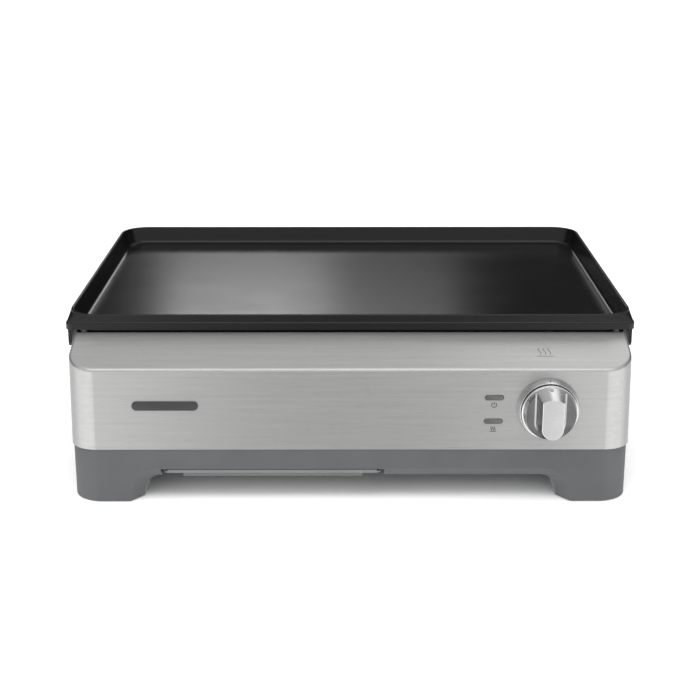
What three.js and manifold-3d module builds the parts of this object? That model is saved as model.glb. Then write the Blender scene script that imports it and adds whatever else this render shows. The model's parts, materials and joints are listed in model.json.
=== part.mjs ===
// Electric griddle: a lift-off non-stick plate on a brushed steel housing over a plastic base with
// four legs, with a slide-out drip tray, a thermostat knob, and the heating parts inside.
// Millimetres, +Z up, the front faces -Y. Sizes below are in the housing's frame: X = 0 on the
// centre line, Y = 0 at the steel front face, Z = 0 at the surface that the feet stand on.
// The exported group moves that frame so that the origin is under the middle of the whole object.
import * as THREE from "three";
import { mergeVertices } from "three/addons/utils/BufferGeometryUtils.js";
import Module from "manifold-3d";

const wasm = await Module();
wasm.setup();

const FIT = 0.3; // gap between pieces that touch
const PAST = 6; // how far a cutting solid runs past the face that it opens

// Steel housing
const STEEL_HALF = 230;
const STEEL_REAR = 372;
const STEEL_BOTTOM = 46.4;
const STEEL_TOP = 125.5;
const STEEL_CORNER = 23;
const SHEET = 1;
const SIDE_LEAN = 0.015; // each side wall leans in this much for each millimetre of height
const DECK_START = 115.2; // height at which the sloping deck would meet the front face
const DECK_SLOPE = THREE.MathUtils.degToRad(18.7);
const DECK_END = 49.5;
const DECK_FOLD = 2.5; // radius of the fold between the front face and the deck
const DECK_RETURN = 124.4; // lower edge of the fold at the deck's rear end
const WINDOW_HALF = 182;
const WINDOW_LOW = 57;
const WINDOW_HIGH = 119;

// Plastic base
const BASE_HALF = 229.3;
const BASE_FRONT = 0.7;
const BASE_REAR = STEEL_REAR - BASE_FRONT;
const BASE_TOP = STEEL_BOTTOM - FIT;
const BASE_CORNER = 25;
const SOLE = 0.9; // the legs end this far above the surface, and the foot pads reach it
const BELLY = 19;
const FLOOR_TOP = 21.5;
const TONGUE_TOP = BASE_TOP + 6;
const LEG_SPAN = 58.1; // from an outer wall to the inner edge of a leg, at the sole
const LEG_LEAN = THREE.MathUtils.degToRad(9);
const ARCH_CORNER = 13;
const BEVEL_DEPTH = 12.9;
const BEVEL_OFFSET = 10.2;

// Griddle plate
const PLATE_HALF = 235;
const PLATE_FRONT = 47.3;
const PLATE_REAR = 377.2;
const PLATE_TOP = 147;
const COOK_HEIGHT = 131;
const PLATE_UNDER = 127;
const FLANGE_LOW = 134.4;
const FLANGE_HIGH = 140.7;
const SKIRT_LOW = 119;
const SKIRT_OUT = 0.8; // the flange and the skirt stand this far outside the rim
const SKIRT_WALL = 3.2;
const RIM_WALL = 3;
const RIM_CORNER = 26;
const WELL_DRAFT = 3.7;
const DRAIN_X = -64;
const DRAIN_Y = 84;
const DRAIN_RADIUS = 6;

// Drip tray
const TRAY_HALF = 89;
const PAN_HALF = 74;
const TRAY_FRONT = 1.2;
const TRAY_REAR = 140;
const PAN_FRONT = 9;
const PAN_STEP = 19.5; // where the pan's upright front turns into its slope
const PAN_REAR = 134;
const PAN_LOW = 8.5;
const TRAY_LEDGE = 25.3;
const TRAY_WALL = 1.5;
const TUNNEL_HALF = 92;
const TUNNEL_ROOF = 28.5;
const HOOD_TOP = TUNNEL_ROOF + 3;
const TUNNEL_REAR = 144;
const RUNNER_FRONT = 16;
const CHUTE_FOOT = 28;

// Controls
const KNOB_X = 159.7;
const KNOB_Z = 82.2;
const KNOB_REACH = 31;
const BEZEL_RADIUS = 25.4;
const LENSES = { upper: [116, 91.2], lower: [115.6, 71] };
const LENS_HALF = 7.5;
const LENS_RADIUS = 2;
const BADGE = { x: -149.7, z: 84.3, width: 53.6, height: 7.6, thickness: 0.8 };

// Heating parts
const REFLECTOR_HALF = 196;
const REFLECTOR_FRONT = 66;
const REFLECTOR_REAR = 358;
const REFLECTOR_LOW = 106;
const LIP_TOP = 123.5;
const RAIL_OUTER = 210;
const RAIL_INNER = 197;
const ELEMENT_RADIUS = 4;
const ELEMENT_Z = 122.6;
const PIN_XS = { left: 120, right: 150 };
const BULB = { x: 135, z: 124, radius: 2.4, front: 130, rear: 172 };
const FUSE = { x: 150, z: 103.2, radius: 2.3, front: 150, rear: 166 };

const FINISH = {
  steel: { color: 0xa9a9a8, roughness: 0.34, metalness: 1 },
  plastic: { color: 0x5d5f61, roughness: 0.6, metalness: 0 },
  nonStick: { color: 0x161616, roughness: 0.42, metalness: 0 },
  tray: { color: 0x77797b, roughness: 0.5, metalness: 0 },
  chrome: { color: 0xd5d5d5, roughness: 0.15, metalness: 1 },
  rubber: { color: 0x202020, roughness: 0.9, metalness: 0 },
  aluminium: { color: 0xc4c6c8, roughness: 0.4, metalness: 1 },
  element: { color: 0x4a4745, roughness: 0.55, metalness: 0.8 },
  ceramic: { color: 0xe6e0d2, roughness: 0.6, metalness: 0 },
  lens: { color: 0x6a6a6a, roughness: 0.25, metalness: 0 },
  lamp: { color: 0xf0b080, roughness: 0.1, metalness: 0 },
  badge: { color: 0x2a2b2c, roughness: 0.4, metalness: 0 },
  copper: { color: 0xb87345, roughness: 0.4, metalness: 1 },
  brownWire: { color: 0x6b4226, roughness: 0.6, metalness: 0 },
  blueWire: { color: 0x2f5f9e, roughness: 0.6, metalness: 0 },
  greenWire: { color: 0x6e9c3a, roughness: 0.6, metalness: 0 },
};

// ---- solids ----

function solidOf(geometry) {
  geometry.deleteAttribute("normal");
  geometry.deleteAttribute("uv");
  const merged = mergeVertices(geometry);
  const vertProperties = merged.attributes.position.array;
  const triVerts = new Uint32Array(merged.index.array);
  return new wasm.Manifold(new wasm.Mesh({ numProp: 3, vertProperties, triVerts }));
}

function geometryOf(solid) {
  const mesh = solid.getMesh();
  const indexed = new THREE.BufferGeometry();
  indexed.setAttribute("position", new THREE.BufferAttribute(mesh.vertProperties, 3));
  indexed.setIndex(new THREE.BufferAttribute(mesh.triVerts, 1));
  const faceted = indexed.toNonIndexed();
  faceted.computeVertexNormals();
  return faceted;
}

function piece(name, shape, finish) {
  const geometry = shape.isBufferGeometry ? shape : geometryOf(shape);
  const mesh = new THREE.Mesh(geometry, new THREE.MeshStandardMaterial(finish));
  mesh.name = name;
  return mesh;
}

function block(x0, x1, y0, y1, z0, z1) {
  const box = new THREE.BoxGeometry(x1 - x0, y1 - y0, z1 - z0);
  return solidOf(box.translate((x0 + x1) / 2, (y0 + y1) / 2, (z0 + z1) / 2));
}

function roundedRect(x0, y0, x1, y1, radius) {
  const shape = new THREE.Shape();
  shape.absarc(x1 - radius, y0 + radius, radius, -Math.PI / 2, 0);
  shape.absarc(x1 - radius, y1 - radius, radius, 0, Math.PI / 2);
  shape.absarc(x0 + radius, y1 - radius, radius, Math.PI / 2, Math.PI);
  shape.absarc(x0 + radius, y0 + radius, radius, Math.PI, 1.5 * Math.PI);
  shape.closePath();
  return shape;
}

function polygon(points) {
  return new THREE.Shape(points.map(([x, y]) => new THREE.Vector2(x, y)));
}

function extruded(shape, depth, arcSteps) {
  return new THREE.ExtrudeGeometry(shape, { depth, bevelEnabled: false, curveSegments: arcSteps });
}

// A shape in X and Y, from z0 to z1.
function alongZ(shape, z0, z1, arcSteps = 3) {
  return solidOf(extruded(shape, z1 - z0, arcSteps).translate(0, 0, z0));
}

const TO_X = new THREE.Matrix4().makeBasis(
  new THREE.Vector3(0, 1, 0),
  new THREE.Vector3(0, 0, 1),
  new THREE.Vector3(1, 0, 0),
);
const TO_Y = new THREE.Matrix4().makeBasis(
  new THREE.Vector3(1, 0, 0),
  new THREE.Vector3(0, 0, 1),
  new THREE.Vector3(0, -1, 0),
);

// A shape in Y and Z, from x0 to x1.
function alongX(shape, x0, x1, arcSteps = 3) {
  return solidOf(extruded(shape, x1 - x0, arcSteps).applyMatrix4(TO_X).translate(x0, 0, 0));
}

// A shape in X and Z, from y0 to y1.
function alongY(shape, y0, y1, arcSteps = 3) {
  return solidOf(extruded(shape, y1 - y0, arcSteps).applyMatrix4(TO_Y).translate(0, y1, 0));
}

// A profile of [radius, height] points turned about Z.
function turned(profile, segments = 20) {
  const points = profile.map(([radius, height]) => new THREE.Vector2(radius, height));
  return new THREE.LatheGeometry(points, segments).rotateX(Math.PI / 2);
}

function drum(radius, low, high, segments = 20) {
  return turned([[0, low], [radius, low], [radius, high], [0, high]], segments);
}

function uprightDrum(radius, x, y, z0, z1, segments = 20) {
  return solidOf(drum(radius, z0, z1, segments).translate(x, y, 0));
}

// A drum that lies along Y, from y0 to y1.
function levelDrum(radius, x, z, y0, y1, segments = 20) {
  return solidOf(drum(radius, -y1, -y0, segments).rotateX(Math.PI / 2).translate(x, 0, z));
}

function tubeAlong(path, radius, sides, steps) {
  const section = new THREE.Shape();
  for (let i = 0; i < sides; i++) {
    const angle = (2 * Math.PI * i) / sides;
    const corner = [radius * Math.cos(angle), radius * Math.sin(angle)];
    if (i === 0) section.moveTo(...corner);
    else section.lineTo(...corner);
  }
  return new THREE.ExtrudeGeometry(section, { steps, extrudePath: path });
}

// The housing's plan outline, moved in from its outer faces.
function housingPlan(inset) {
  const corner = STEEL_CORNER - inset;
  return roundedRect(-STEEL_HALF + inset, inset, STEEL_HALF - inset, STEEL_REAR - inset, corner);
}

// ---- base ----

// The opening between two legs: upright flanks that lean, round upper corners and a flat crown.
function archOpening(halfSpan) {
  const tan = Math.tan(LEG_LEAN);
  const centreZ = BELLY - ARCH_CORNER;
  const centreX = halfSpan - centreZ * tan - ARCH_CORNER / Math.cos(LEG_LEAN);
  const low = -2 * BELLY;
  const shape = new THREE.Shape();
  shape.moveTo(-halfSpan + low * tan, low);
  shape.lineTo(halfSpan - low * tan, low);
  shape.absarc(centreX, centreZ, ARCH_CORNER, LEG_LEAN, Math.PI / 2);
  shape.absarc(-centreX, centreZ, ARCH_CORNER, Math.PI / 2, Math.PI - LEG_LEAN);
  shape.closePath();
  return shape;
}

// The arch cut through the base, which widens by a bevel towards both outer faces.
function archCutter(halfSpan, length) {
  const reach = (BEVEL_DEPTH + PAST) / BEVEL_DEPTH;
  return new THREE.ExtrudeGeometry(archOpening(halfSpan), {
    depth: length - 2 * BEVEL_DEPTH,
    bevelThickness: BEVEL_DEPTH * reach,
    bevelSize: -BEVEL_OFFSET * reach,
    bevelOffset: BEVEL_OFFSET * reach,
    bevelSegments: 1,
    curveSegments: 3,
  }).translate(0, 0, BEVEL_DEPTH - length / 2);
}

function eachCorner(x, front, make) {
  const rear = STEEL_REAR - front;
  make("front_left", -x, front);
  make("front_right", x, front);
  make("rear_left", -x, rear);
  make("rear_right", x, rear);
}

const FOOT = { x: 204, y: 26, radius: 13, recess: 3 };
const BASE_SCREW = { x: 203.5, y: 80, hole: 2.2 };

function baseShell() {
  const middle = STEEL_REAR / 2;
  const outline = roundedRect(-BASE_HALF, BASE_FRONT, BASE_HALF, BASE_REAR, BASE_CORNER);
  const wallInset = 3.6;
  const floorInset = 16;
  const wallFoot = 30;
  let shell = alongZ(outline, SOLE, BASE_TOP);
  shell = shell.add(alongZ(housingPlan(SHEET + 2 * FIT), wallFoot + PAST, TONGUE_TOP));
  shell = shell.subtract(alongZ(housingPlan(wallInset), wallFoot, TONGUE_TOP + PAST));
  shell = shell.subtract(alongZ(housingPlan(floorInset), FLOOR_TOP, wallFoot + PAST));
  const tunnel = [DRAIN_X - TUNNEL_HALF - 2, DRAIN_X + TUNNEL_HALF + 2, wallInset + 1, TUNNEL_REAR + 2];
  shell = shell.add(block(...tunnel, BELLY, HOOD_TOP));
  const acrossFront = archCutter(BASE_HALF - LEG_SPAN, BASE_REAR - BASE_FRONT);
  const acrossSides = archCutter(middle - BASE_FRONT - LEG_SPAN, 2 * BASE_HALF);
  shell = shell.subtract(solidOf(acrossFront.applyMatrix4(TO_Y).translate(0, middle, 0)));
  shell = shell.subtract(solidOf(acrossSides.applyMatrix4(TO_X).translate(0, middle, 0)));
  const bay = [DRAIN_X - TUNNEL_HALF, DRAIN_X + TUNNEL_HALF, -PAST, TUNNEL_REAR];
  shell = shell.subtract(block(...bay, -PAST, TUNNEL_ROOF));
  shell = shell.subtract(uprightDrum(CHUTE_HOLE, DRAIN_X, DRAIN_Y, BELLY, HOOD_TOP + PAST));
  eachCorner(FOOT.x, FOOT.y, (corner, x, y) => {
    shell = shell.subtract(uprightDrum(FOOT.radius + FIT, x, y, -PAST, FOOT.recess));
    const hollow = roundedRect(x - 20, y - 20, x + 20, y + 20, 14);
    shell = shell.subtract(alongZ(hollow, 2 * FOOT.recess, wallFoot + PAST, 2));
  });
  eachCorner(BASE_SCREW.x, BASE_SCREW.y, (corner, x, y) => {
    shell = shell.subtract(uprightDrum(BASE_SCREW.hole, x, y, 0, wallFoot, 12));
  });
  return piece("base_shell", shell, FINISH.plastic);
}

function footPads(parent) {
  eachCorner(FOOT.x, FOOT.y, (corner, x, y) => {
    const pad = piece("foot_pad_" + corner, drum(FOOT.radius, 0, FOOT.recess - FIT, 24), FINISH.rubber);
    pad.position.set(x, y, 0);
    parent.add(pad);
  });
}

// A pan-head screw: its head rests on Z = 0 and its shank points down.
function screw(name, headRadius, headHeight, shankRadius, length) {
  const profile = [
    [0, -length],
    [shankRadius, -length],
    [shankRadius, 0],
    [headRadius, 0],
    [headRadius, headHeight * 0.5],
    [headRadius * 0.6, headHeight],
    [0, headHeight],
  ];
  return piece(name, turned(profile, 12), FINISH.steel);
}

function baseScrews(parent) {
  eachCorner(BASE_SCREW.x, BASE_SCREW.y, (corner, x, y) => {
    const one = screw("base_screw_" + corner, 3.6, 1.8, 1.8, 8);
    one.position.set(x, y, BELLY - FIT);
    one.rotation.x = Math.PI;
    parent.add(one);
  });
}

// Angled rails that carry the edges of the tray's flange inside its bay.
function trayRunner(side, sign) {
  const wall = TUNNEL_HALF - FIT;
  const web = TRAY_HALF + 2 * FIT;
  const ledge = TRAY_LEDGE - FIT;
  const section = polygon([
    [wall, BELLY + FIT],
    [wall, TUNNEL_ROOF - FIT],
    [web, TUNNEL_ROOF - FIT],
    [web, ledge],
    [PAN_HALF + 4, ledge],
    [PAN_HALF + 4, BELLY + FIT],
  ].map(([x, z]) => [DRAIN_X + sign * x, z]));
  return piece("tray_runner_" + side, alongY(section, RUNNER_FRONT, TRAY_REAR), FINISH.aluminium);
}

// ---- steel housing ----

// Height of the deck's upper face, or of a face parallel to it and below it, at a given Y.
function deckHeight(y, below = 0) {
  return DECK_START + y * Math.tan(DECK_SLOPE) - below / Math.cos(DECK_SLOPE);
}

function deckProfile() {
  const foldZ = deckHeight(DECK_FOLD, DECK_FOLD);
  const shape = new THREE.Shape();
  shape.moveTo(-PAST, STEEL_BOTTOM);
  shape.lineTo(STEEL_REAR + PAST, STEEL_BOTTOM);
  shape.lineTo(STEEL_REAR + PAST, STEEL_TOP);
  shape.lineTo(DECK_END, STEEL_TOP);
  shape.lineTo(DECK_END, deckHeight(DECK_END));
  shape.absarc(DECK_FOLD, foldZ, DECK_FOLD, Math.PI / 2 + DECK_SLOPE, Math.PI);
  shape.lineTo(-PAST, foldZ);
  return shape;
}

function hollowProfile() {
  const high = STEEL_TOP + PAST;
  return polygon([
    [-PAST, STEEL_BOTTOM - PAST],
    [STEEL_REAR + PAST, STEEL_BOTTOM - PAST],
    [STEEL_REAR + PAST, high],
    [DECK_END - 0.2, high],
    [DECK_END - 0.2, DECK_RETURN],
    [DECK_END - SHEET, DECK_RETURN],
    [DECK_END - SHEET, deckHeight(DECK_END - SHEET, SHEET)],
    [-PAST, deckHeight(-PAST, SHEET)],
  ]);
}

// Moves the side walls in towards the centre line as they rise.
function leanedIn(solid) {
  const geometry = geometryOf(solid);
  const position = geometry.attributes.position;
  for (let i = 0; i < position.count; i++) {
    const rise = position.getZ(i) - STEEL_BOTTOM;
    position.setX(i, position.getX(i) * (1 - (SIDE_LEAN * rise) / STEEL_HALF));
  }
  return solidOf(geometry);
}

function lensOutline(x, z, margin) {
  const radius = LENS_RADIUS + margin;
  const half = LENS_HALF + margin;
  const shape = new THREE.Shape();
  shape.absarc(x + half - radius, z, radius, -Math.PI / 2, Math.PI / 2);
  shape.absarc(x - half + radius, z, radius, Math.PI / 2, 1.5 * Math.PI);
  shape.closePath();
  return shape;
}

const SHAFT_HOLE = 6;
const CONTROL_SCREW = { offset: 14, hole: 2 };
const REAR_SCREW = { x: 189, low: 60, high: 112, hole: 1.9 };

function steelHousing() {
  const tall = 140;
  const outside = alongZ(housingPlan(0), STEEL_BOTTOM, tall, 5);
  const inside = alongZ(housingPlan(SHEET), STEEL_BOTTOM - PAST, tall + PAST, 5);
  const width = STEEL_HALF + PAST;
  let shell = outside.intersect(alongX(deckProfile(), -width, width));
  shell = leanedIn(shell.subtract(inside.intersect(alongX(hollowProfile(), -width, width))));
  const behind = [STEEL_REAR - 2 * SHEET, STEEL_REAR + PAST];
  shell = shell.subtract(block(-WINDOW_HALF, WINDOW_HALF, ...behind, WINDOW_LOW, WINDOW_HIGH));
  shell = shell.subtract(levelDrum(SHAFT_HOLE, KNOB_X, KNOB_Z, -PAST, PAST));
  for (const sign of [-1, 1]) {
    const x = KNOB_X + sign * CONTROL_SCREW.offset;
    shell = shell.subtract(levelDrum(CONTROL_SCREW.hole, x, KNOB_Z, -PAST, PAST, 10));
  }
  for (const [x, z] of Object.values(LENSES)) {
    shell = shell.subtract(alongY(lensOutline(x, z, FIT), -PAST, PAST));
  }
  for (const x of [-REAR_SCREW.x, REAR_SCREW.x]) {
    for (const z of [REAR_SCREW.low, REAR_SCREW.high]) {
      shell = shell.subtract(levelDrum(REAR_SCREW.hole, x, z, ...behind, 10));
    }
  }
  return piece("steel_housing", shell, FINISH.steel);
}

function badge() {
  const { x, z, width, height, thickness } = BADGE;
  const outline = roundedRect(x - width / 2, z - height / 2, x + width / 2, z + height / 2, height / 5);
  return piece("badge_bar", alongY(outline, -FIT - thickness, -FIT, 2), FINISH.badge);
}

// ---- rear panel ----

const PANEL = { half: 196, low: 53, high: 123, thickness: 2.4, step: 1.1 };
const LOUVRE = { inner: 30, outer: 118, pitch: 8, rows: 5, low: 70, slot: 3.2 };
const GLAND = { x: 160, z: 72, collar: 8.6, flange: 11.5, bore: 4.3 };

function rearPanel() {
  const face = STEEL_REAR - SHEET - FIT;
  const { half, low, high, thickness, step } = PANEL;
  let panel = block(-half, half, face - thickness, face, low, high);
  const proud = [face - thickness, face + step];
  const margin = 2 * FIT;
  panel = panel.add(
    block(-WINDOW_HALF + margin, WINDOW_HALF - margin, ...proud, WINDOW_LOW + margin, WINDOW_HIGH - margin),
  );
  const through = [face - PAST, face + PAST];
  for (const sign of [-1, 1]) {
    const ends = [sign * LOUVRE.inner, sign * LOUVRE.outer].sort((a, b) => a - b);
    for (let row = 0; row < LOUVRE.rows; row++) {
      const z = LOUVRE.low + row * LOUVRE.pitch;
      panel = panel.subtract(block(...ends, ...through, z, z + LOUVRE.slot));
    }
    for (const z of [REAR_SCREW.low, REAR_SCREW.high]) {
      panel = panel.subtract(levelDrum(REAR_SCREW.hole, sign * REAR_SCREW.x, z, ...through, 10));
    }
  }
  panel = panel.subtract(levelDrum(GLAND.collar + FIT, GLAND.x, GLAND.z, ...through));
  return piece("rear_panel", panel, FINISH.plastic);
}

// A flanged bush that lines the hole where a mains lead would come in.
function cordGland() {
  const outer = STEEL_REAR - SHEET + PANEL.step;
  const profile = [
    [GLAND.bore, -10],
    [GLAND.collar, -10],
    [GLAND.collar, 0],
    [GLAND.flange, 0],
    [GLAND.flange, 1.6],
    [GLAND.bore + 1.6, 4],
    [GLAND.bore, 4],
    [GLAND.bore, -10],
  ];
  const gland = piece("cord_gland", turned(profile, 24), FINISH.rubber);
  gland.position.set(GLAND.x, outer, GLAND.z);
  gland.rotation.x = -Math.PI / 2;
  return gland;
}

function rearScrews(parent) {
  for (const [side, x] of [["left", -REAR_SCREW.x], ["right", REAR_SCREW.x]]) {
    for (const [level, z] of [["lower", REAR_SCREW.low], ["upper", REAR_SCREW.high]]) {
      const one = screw(`rear_screw_${level}_${side}`, 3.2, 1.6, 1.5, 5);
      one.position.set(x, STEEL_REAR + FIT, z);
      one.rotation.x = -Math.PI / 2;
      parent.add(one);
    }
  }
}

// ---- heating parts ----

function plateRail(side, sign) {
  const web = RAIL_OUTER - 1.2;
  const low = FLOOR_TOP + FIT;
  const high = LIP_TOP - 1 - FIT;
  const section = polygon([
    [RAIL_INNER, low],
    [RAIL_OUTER, low],
    [RAIL_OUTER, high],
    [RAIL_INNER, high],
    [RAIL_INNER, high - 1.2],
    [web, high - 1.2],
    [web, low + 1.2],
    [RAIL_INNER, low + 1.2],
  ].map(([x, z]) => [sign * x, z]));
  let rail = alongY(section, REFLECTOR_FRONT - 4, REFLECTOR_REAR + 4);
  for (const y of [BASE_SCREW.y, STEEL_REAR - BASE_SCREW.y]) {
    rail = rail.subtract(uprightDrum(BASE_SCREW.hole, sign * BASE_SCREW.x, y, low - 1, low + PAST, 12));
  }
  return piece("plate_rail_" + side, rail, FINISH.aluminium);
}

// A soft strip on the reflector's lip, which the plate rests on.
function plateRest(side, sign) {
  const x = sign * 204;
  const outline = roundedRect(x - 3, 76, x + 3, STEEL_REAR - 28, 2.9);
  const solid = alongZ(outline, LIP_TOP + FIT, PLATE_UNDER - FIT, 2);
  return piece("plate_rest_" + side, solid, FINISH.rubber);
}

const CHUTE_HOLE = 9.5;
const INSULATOR = { radius: 4, front: 57, rear: 68.7 };

function reflectorPlan(inset) {
  const [front, rear] = [REFLECTOR_FRONT + inset, REFLECTOR_REAR - inset];
  return roundedRect(-REFLECTOR_HALF + inset, front, REFLECTOR_HALF - inset, rear, 12 - inset);
}

function heatReflector() {
  const sheet = 1;
  const lip = roundedRect(-208, REFLECTOR_FRONT - 4, 208, REFLECTOR_REAR + 4, 14);
  let pan = alongZ(reflectorPlan(0), REFLECTOR_LOW, LIP_TOP, 2);
  pan = pan.add(alongZ(lip, LIP_TOP - sheet, LIP_TOP, 2));
  pan = pan.subtract(alongZ(reflectorPlan(sheet), REFLECTOR_LOW + sheet, LIP_TOP + PAST, 2));
  pan = pan.subtract(uprightDrum(CHUTE_HOLE, DRAIN_X, DRAIN_Y, REFLECTOR_LOW - 1, REFLECTOR_LOW + PAST));
  for (const x of Object.values(PIN_XS)) {
    const half = INSULATOR.radius + FIT;
    const mouth = [REFLECTOR_FRONT - PAST, REFLECTOR_FRONT + 2 * sheet];
    pan = pan.subtract(levelDrum(half, x, ELEMENT_Z, ...mouth));
    pan = pan.subtract(block(x - half, x + half, ...mouth, ELEMENT_Z, LIP_TOP + PAST));
  }
  return piece("heat_reflector", pan, FINISH.aluminium);
}

// Straight runs joined by round bends, through the corners given in X and Y.
function roundedPath(corners, z, bend) {
  const points = corners.map(([x, y]) => new THREE.Vector3(x, y, z));
  const path = new THREE.CurvePath();
  let from = points[0];
  for (let i = 1; i < points.length - 1; i++) {
    const corner = points[i];
    const back = points[i - 1].clone().sub(corner).setLength(bend).add(corner);
    const ahead = points[i + 1].clone().sub(corner).setLength(bend).add(corner);
    path.add(new THREE.LineCurve3(from, back));
    path.add(new THREE.QuadraticBezierCurve3(back, corner, ahead));
    from = ahead;
  }
  path.add(new THREE.LineCurve3(from, points[points.length - 1]));
  return path;
}

const ELEMENT_END = 69;
const ELEMENT_CORNERS = [
  [PIN_XS.left, ELEMENT_END],
  [PIN_XS.left, 112],
  [-170, 112],
  [-170, 178],
  [90, 178],
  [90, 244],
  [-170, 244],
  [-170, 312],
  [182, 312],
  [182, 92],
  [PIN_XS.right, 92],
  [PIN_XS.right, ELEMENT_END],
];

function heatingElement() {
  const path = roundedPath(ELEMENT_CORNERS, ELEMENT_Z, 14);
  return piece("heating_element", tubeAlong(path, ELEMENT_RADIUS, 8, 130), FINISH.element);
}

function elementEnd(side, x) {
  const insulator = levelDrum(INSULATOR.radius, x, ELEMENT_Z, INSULATOR.front, INSULATOR.rear, 16);
  const pin = levelDrum(2, x, ELEMENT_Z, INSULATOR.front - 7, INSULATOR.front - FIT, 12);
  return [
    piece("element_insulator_" + side, insulator, FINISH.ceramic),
    piece("element_pin_" + side, pin, FINISH.steel),
  ];
}

// A folded stand on the reflector's floor with a cup for a tube that lies along X or Y.
function tubeStand(name, x, y, tubeZ, tubeRadius, turn) {
  const cup = tubeRadius + FIT;
  const foot = REFLECTOR_LOW + 1 + FIT;
  const rise = tubeZ - foot;
  const shape = new THREE.Shape();
  shape.moveTo(-9, 0);
  shape.lineTo(9, 0);
  shape.lineTo(9, 1.2);
  shape.lineTo(1.5, 1.2);
  shape.lineTo(1.5, rise - cup - 3);
  shape.lineTo(cup + 1.2, rise - 2);
  shape.lineTo(cup + 1.2, rise);
  shape.absarc(0, rise, cup, 0, -Math.PI, true);
  shape.lineTo(-cup - 1.2, rise);
  shape.lineTo(-cup - 1.2, rise - 2);
  shape.lineTo(-1.5, rise - cup - 3);
  shape.lineTo(-1.5, 1.2);
  shape.lineTo(-9, 1.2);
  const stand = piece(name, alongY(shape, -4, 4), FINISH.aluminium);
  stand.position.set(x, y, foot);
  stand.rotation.z = turn;
  return stand;
}

function elementStands(parent) {
  const across = Math.PI / 2; // the cup follows a run that lies along X
  const places = [[-120, 112], [20, 178], [-120, 312], [120, 312]];
  places.forEach(([x, y], i) => {
    parent.add(tubeStand(`element_stand_${i + 1}`, x, y, ELEMENT_Z, ELEMENT_RADIUS, across));
  });
}

// A funnel under the plate's drain that ends above the drip tray.
function greaseChute() {
  const seat = REFLECTOR_LOW + 1 + FIT;
  const mouth = 118;
  const profile = [
    [7.6, CHUTE_FOOT],
    [9, CHUTE_FOOT],
    [9, seat],
    [15, seat],
    [15, seat + 1.2],
    [11.5, seat + 2],
    [14, mouth],
    [12.8, mouth],
    [9.8, seat + 2],
    [7.6, seat - 2],
    [7.6, CHUTE_FOOT],
  ];
  const chute = piece("grease_chute", turned(profile, 24), FINISH.aluminium);
  chute.position.set(DRAIN_X, DRAIN_Y, 0);
  return chute;
}

function sensorBulb() {
  const { x, z, radius, front, rear } = BULB;
  return piece("sensor_bulb", levelDrum(radius, x, z, front, rear, 12), FINISH.copper);
}

function thermalFuse() {
  const { x, z, radius, front, rear } = FUSE;
  return piece("thermal_fuse", levelDrum(radius, x, z, front, rear, 12), FINISH.ceramic);
}

// ---- wiring ----

const TERMINALS = { left: 140, right: 180, front: 325, rear: 345, high: 36, wireZ: 30 };
const WIRE = { radius: 1.4, sides: 6, steps: 26 };
const BODY_REAR = 30; // rear face of the thermostat, where its wires leave

function terminalBlock() {
  const { left, right, front, rear, high } = TERMINALS;
  let body = block(left, right, front, rear, FLOOR_TOP + FIT, high);
  for (const x of [148, 160, 172]) {
    body = body.subtract(uprightDrum(2.6, x, (front + rear) / 2, high - 3, high + PAST, 10));
  }
  return piece("terminal_block", body, FINISH.ceramic);
}

function wire(name, points, finish, radius = WIRE.radius) {
  const path = new THREE.CatmullRomCurve3(points.map((point) => new THREE.Vector3(...point)));
  return piece(name, tubeAlong(path, radius, WIRE.sides, WIRE.steps), finish);
}

function wiring() {
  const blockFace = TERMINALS.front - FIT;
  const pinUnder = ELEMENT_Z - 2 - FIT;
  const bodyFace = BODY_REAR + FIT;
  const z = TERMINALS.wireZ;
  return [
    wire(
      "wire_live",
      [
        [160, blockFace, z], [160, 305, 29], [184, 262, 27], [190, 225, 27], [190, 90, 27],
        [198, 55, 34], [194, 40, 52], [178, 37, 70], [170, bodyFace + 3, 76], [170, bodyFace, 76],
      ],
      FINISH.brownWire,
    ),
    wire(
      "wire_neutral_rear",
      [
        [148, blockFace, z], [148, 305, 33], [150, 270, 62], [150, 220, 95],
        [FUSE.x, FUSE.rear + 12, FUSE.z], [FUSE.x, FUSE.rear + FIT, FUSE.z],
      ],
      FINISH.blueWire,
    ),
    wire(
      "wire_neutral_front",
      [
        [FUSE.x, FUSE.front - FIT, FUSE.z], [FUSE.x, 135, 102], [FUSE.x, 80, 96],
        [FUSE.x, 57, 103], [PIN_XS.right, 53.5, 114], [PIN_XS.right, 53.5, pinUnder],
      ],
      FINISH.blueWire,
    ),
    wire(
      "wire_element",
      [
        [150, bodyFace, 90], [150, bodyFace + 3, 90], [148, 38, 97], [136, 42, 108], [124, 50, 113],
        [PIN_XS.left, 53.5, 115], [PIN_XS.left, 53.5, pinUnder],
      ],
      FINISH.brownWire,
    ),
    wire(
      "wire_earth",
      [[172, blockFace, z], [174, 312, 31], [190, 299, 38], [203, 296, 42], [RAIL_OUTER - 1.2 - FIT, 296, 42]],
      FINISH.greenWire,
    ),
    wire(
      "sensor_capillary",
      [
        [166, bodyFace, 92], [166, bodyFace + 3, 92], [163, 40, 101], [149, 45, 116], [138, 52, 122],
        [BULB.x, 62, 125.2], [BULB.x, 100, 125.2], [BULB.x, BULB.front - FIT, BULB.z],
      ],
      FINISH.copper,
      0.8,
    ),
  ];
}

// ---- controls ----

// Everything about the knob's axis, in a group whose Z runs out of the front face.
function controlGroup() {
  const group = new THREE.Group();
  group.position.set(KNOB_X, 0, KNOB_Z);
  group.rotation.x = Math.PI / 2;
  group.add(knob(), thermostatShaft(), knobBezel(), thermostatBody(), thermostatBracket());
  for (const [side, x] of [["left", -CONTROL_SCREW.offset], ["right", CONTROL_SCREW.offset]]) {
    const one = screw("thermostat_screw_" + side, 3.2, 1.6, 1.5, 8);
    one.position.set(x, 0, 1.8);
    group.add(one);
  }
  return group;
}

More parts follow.
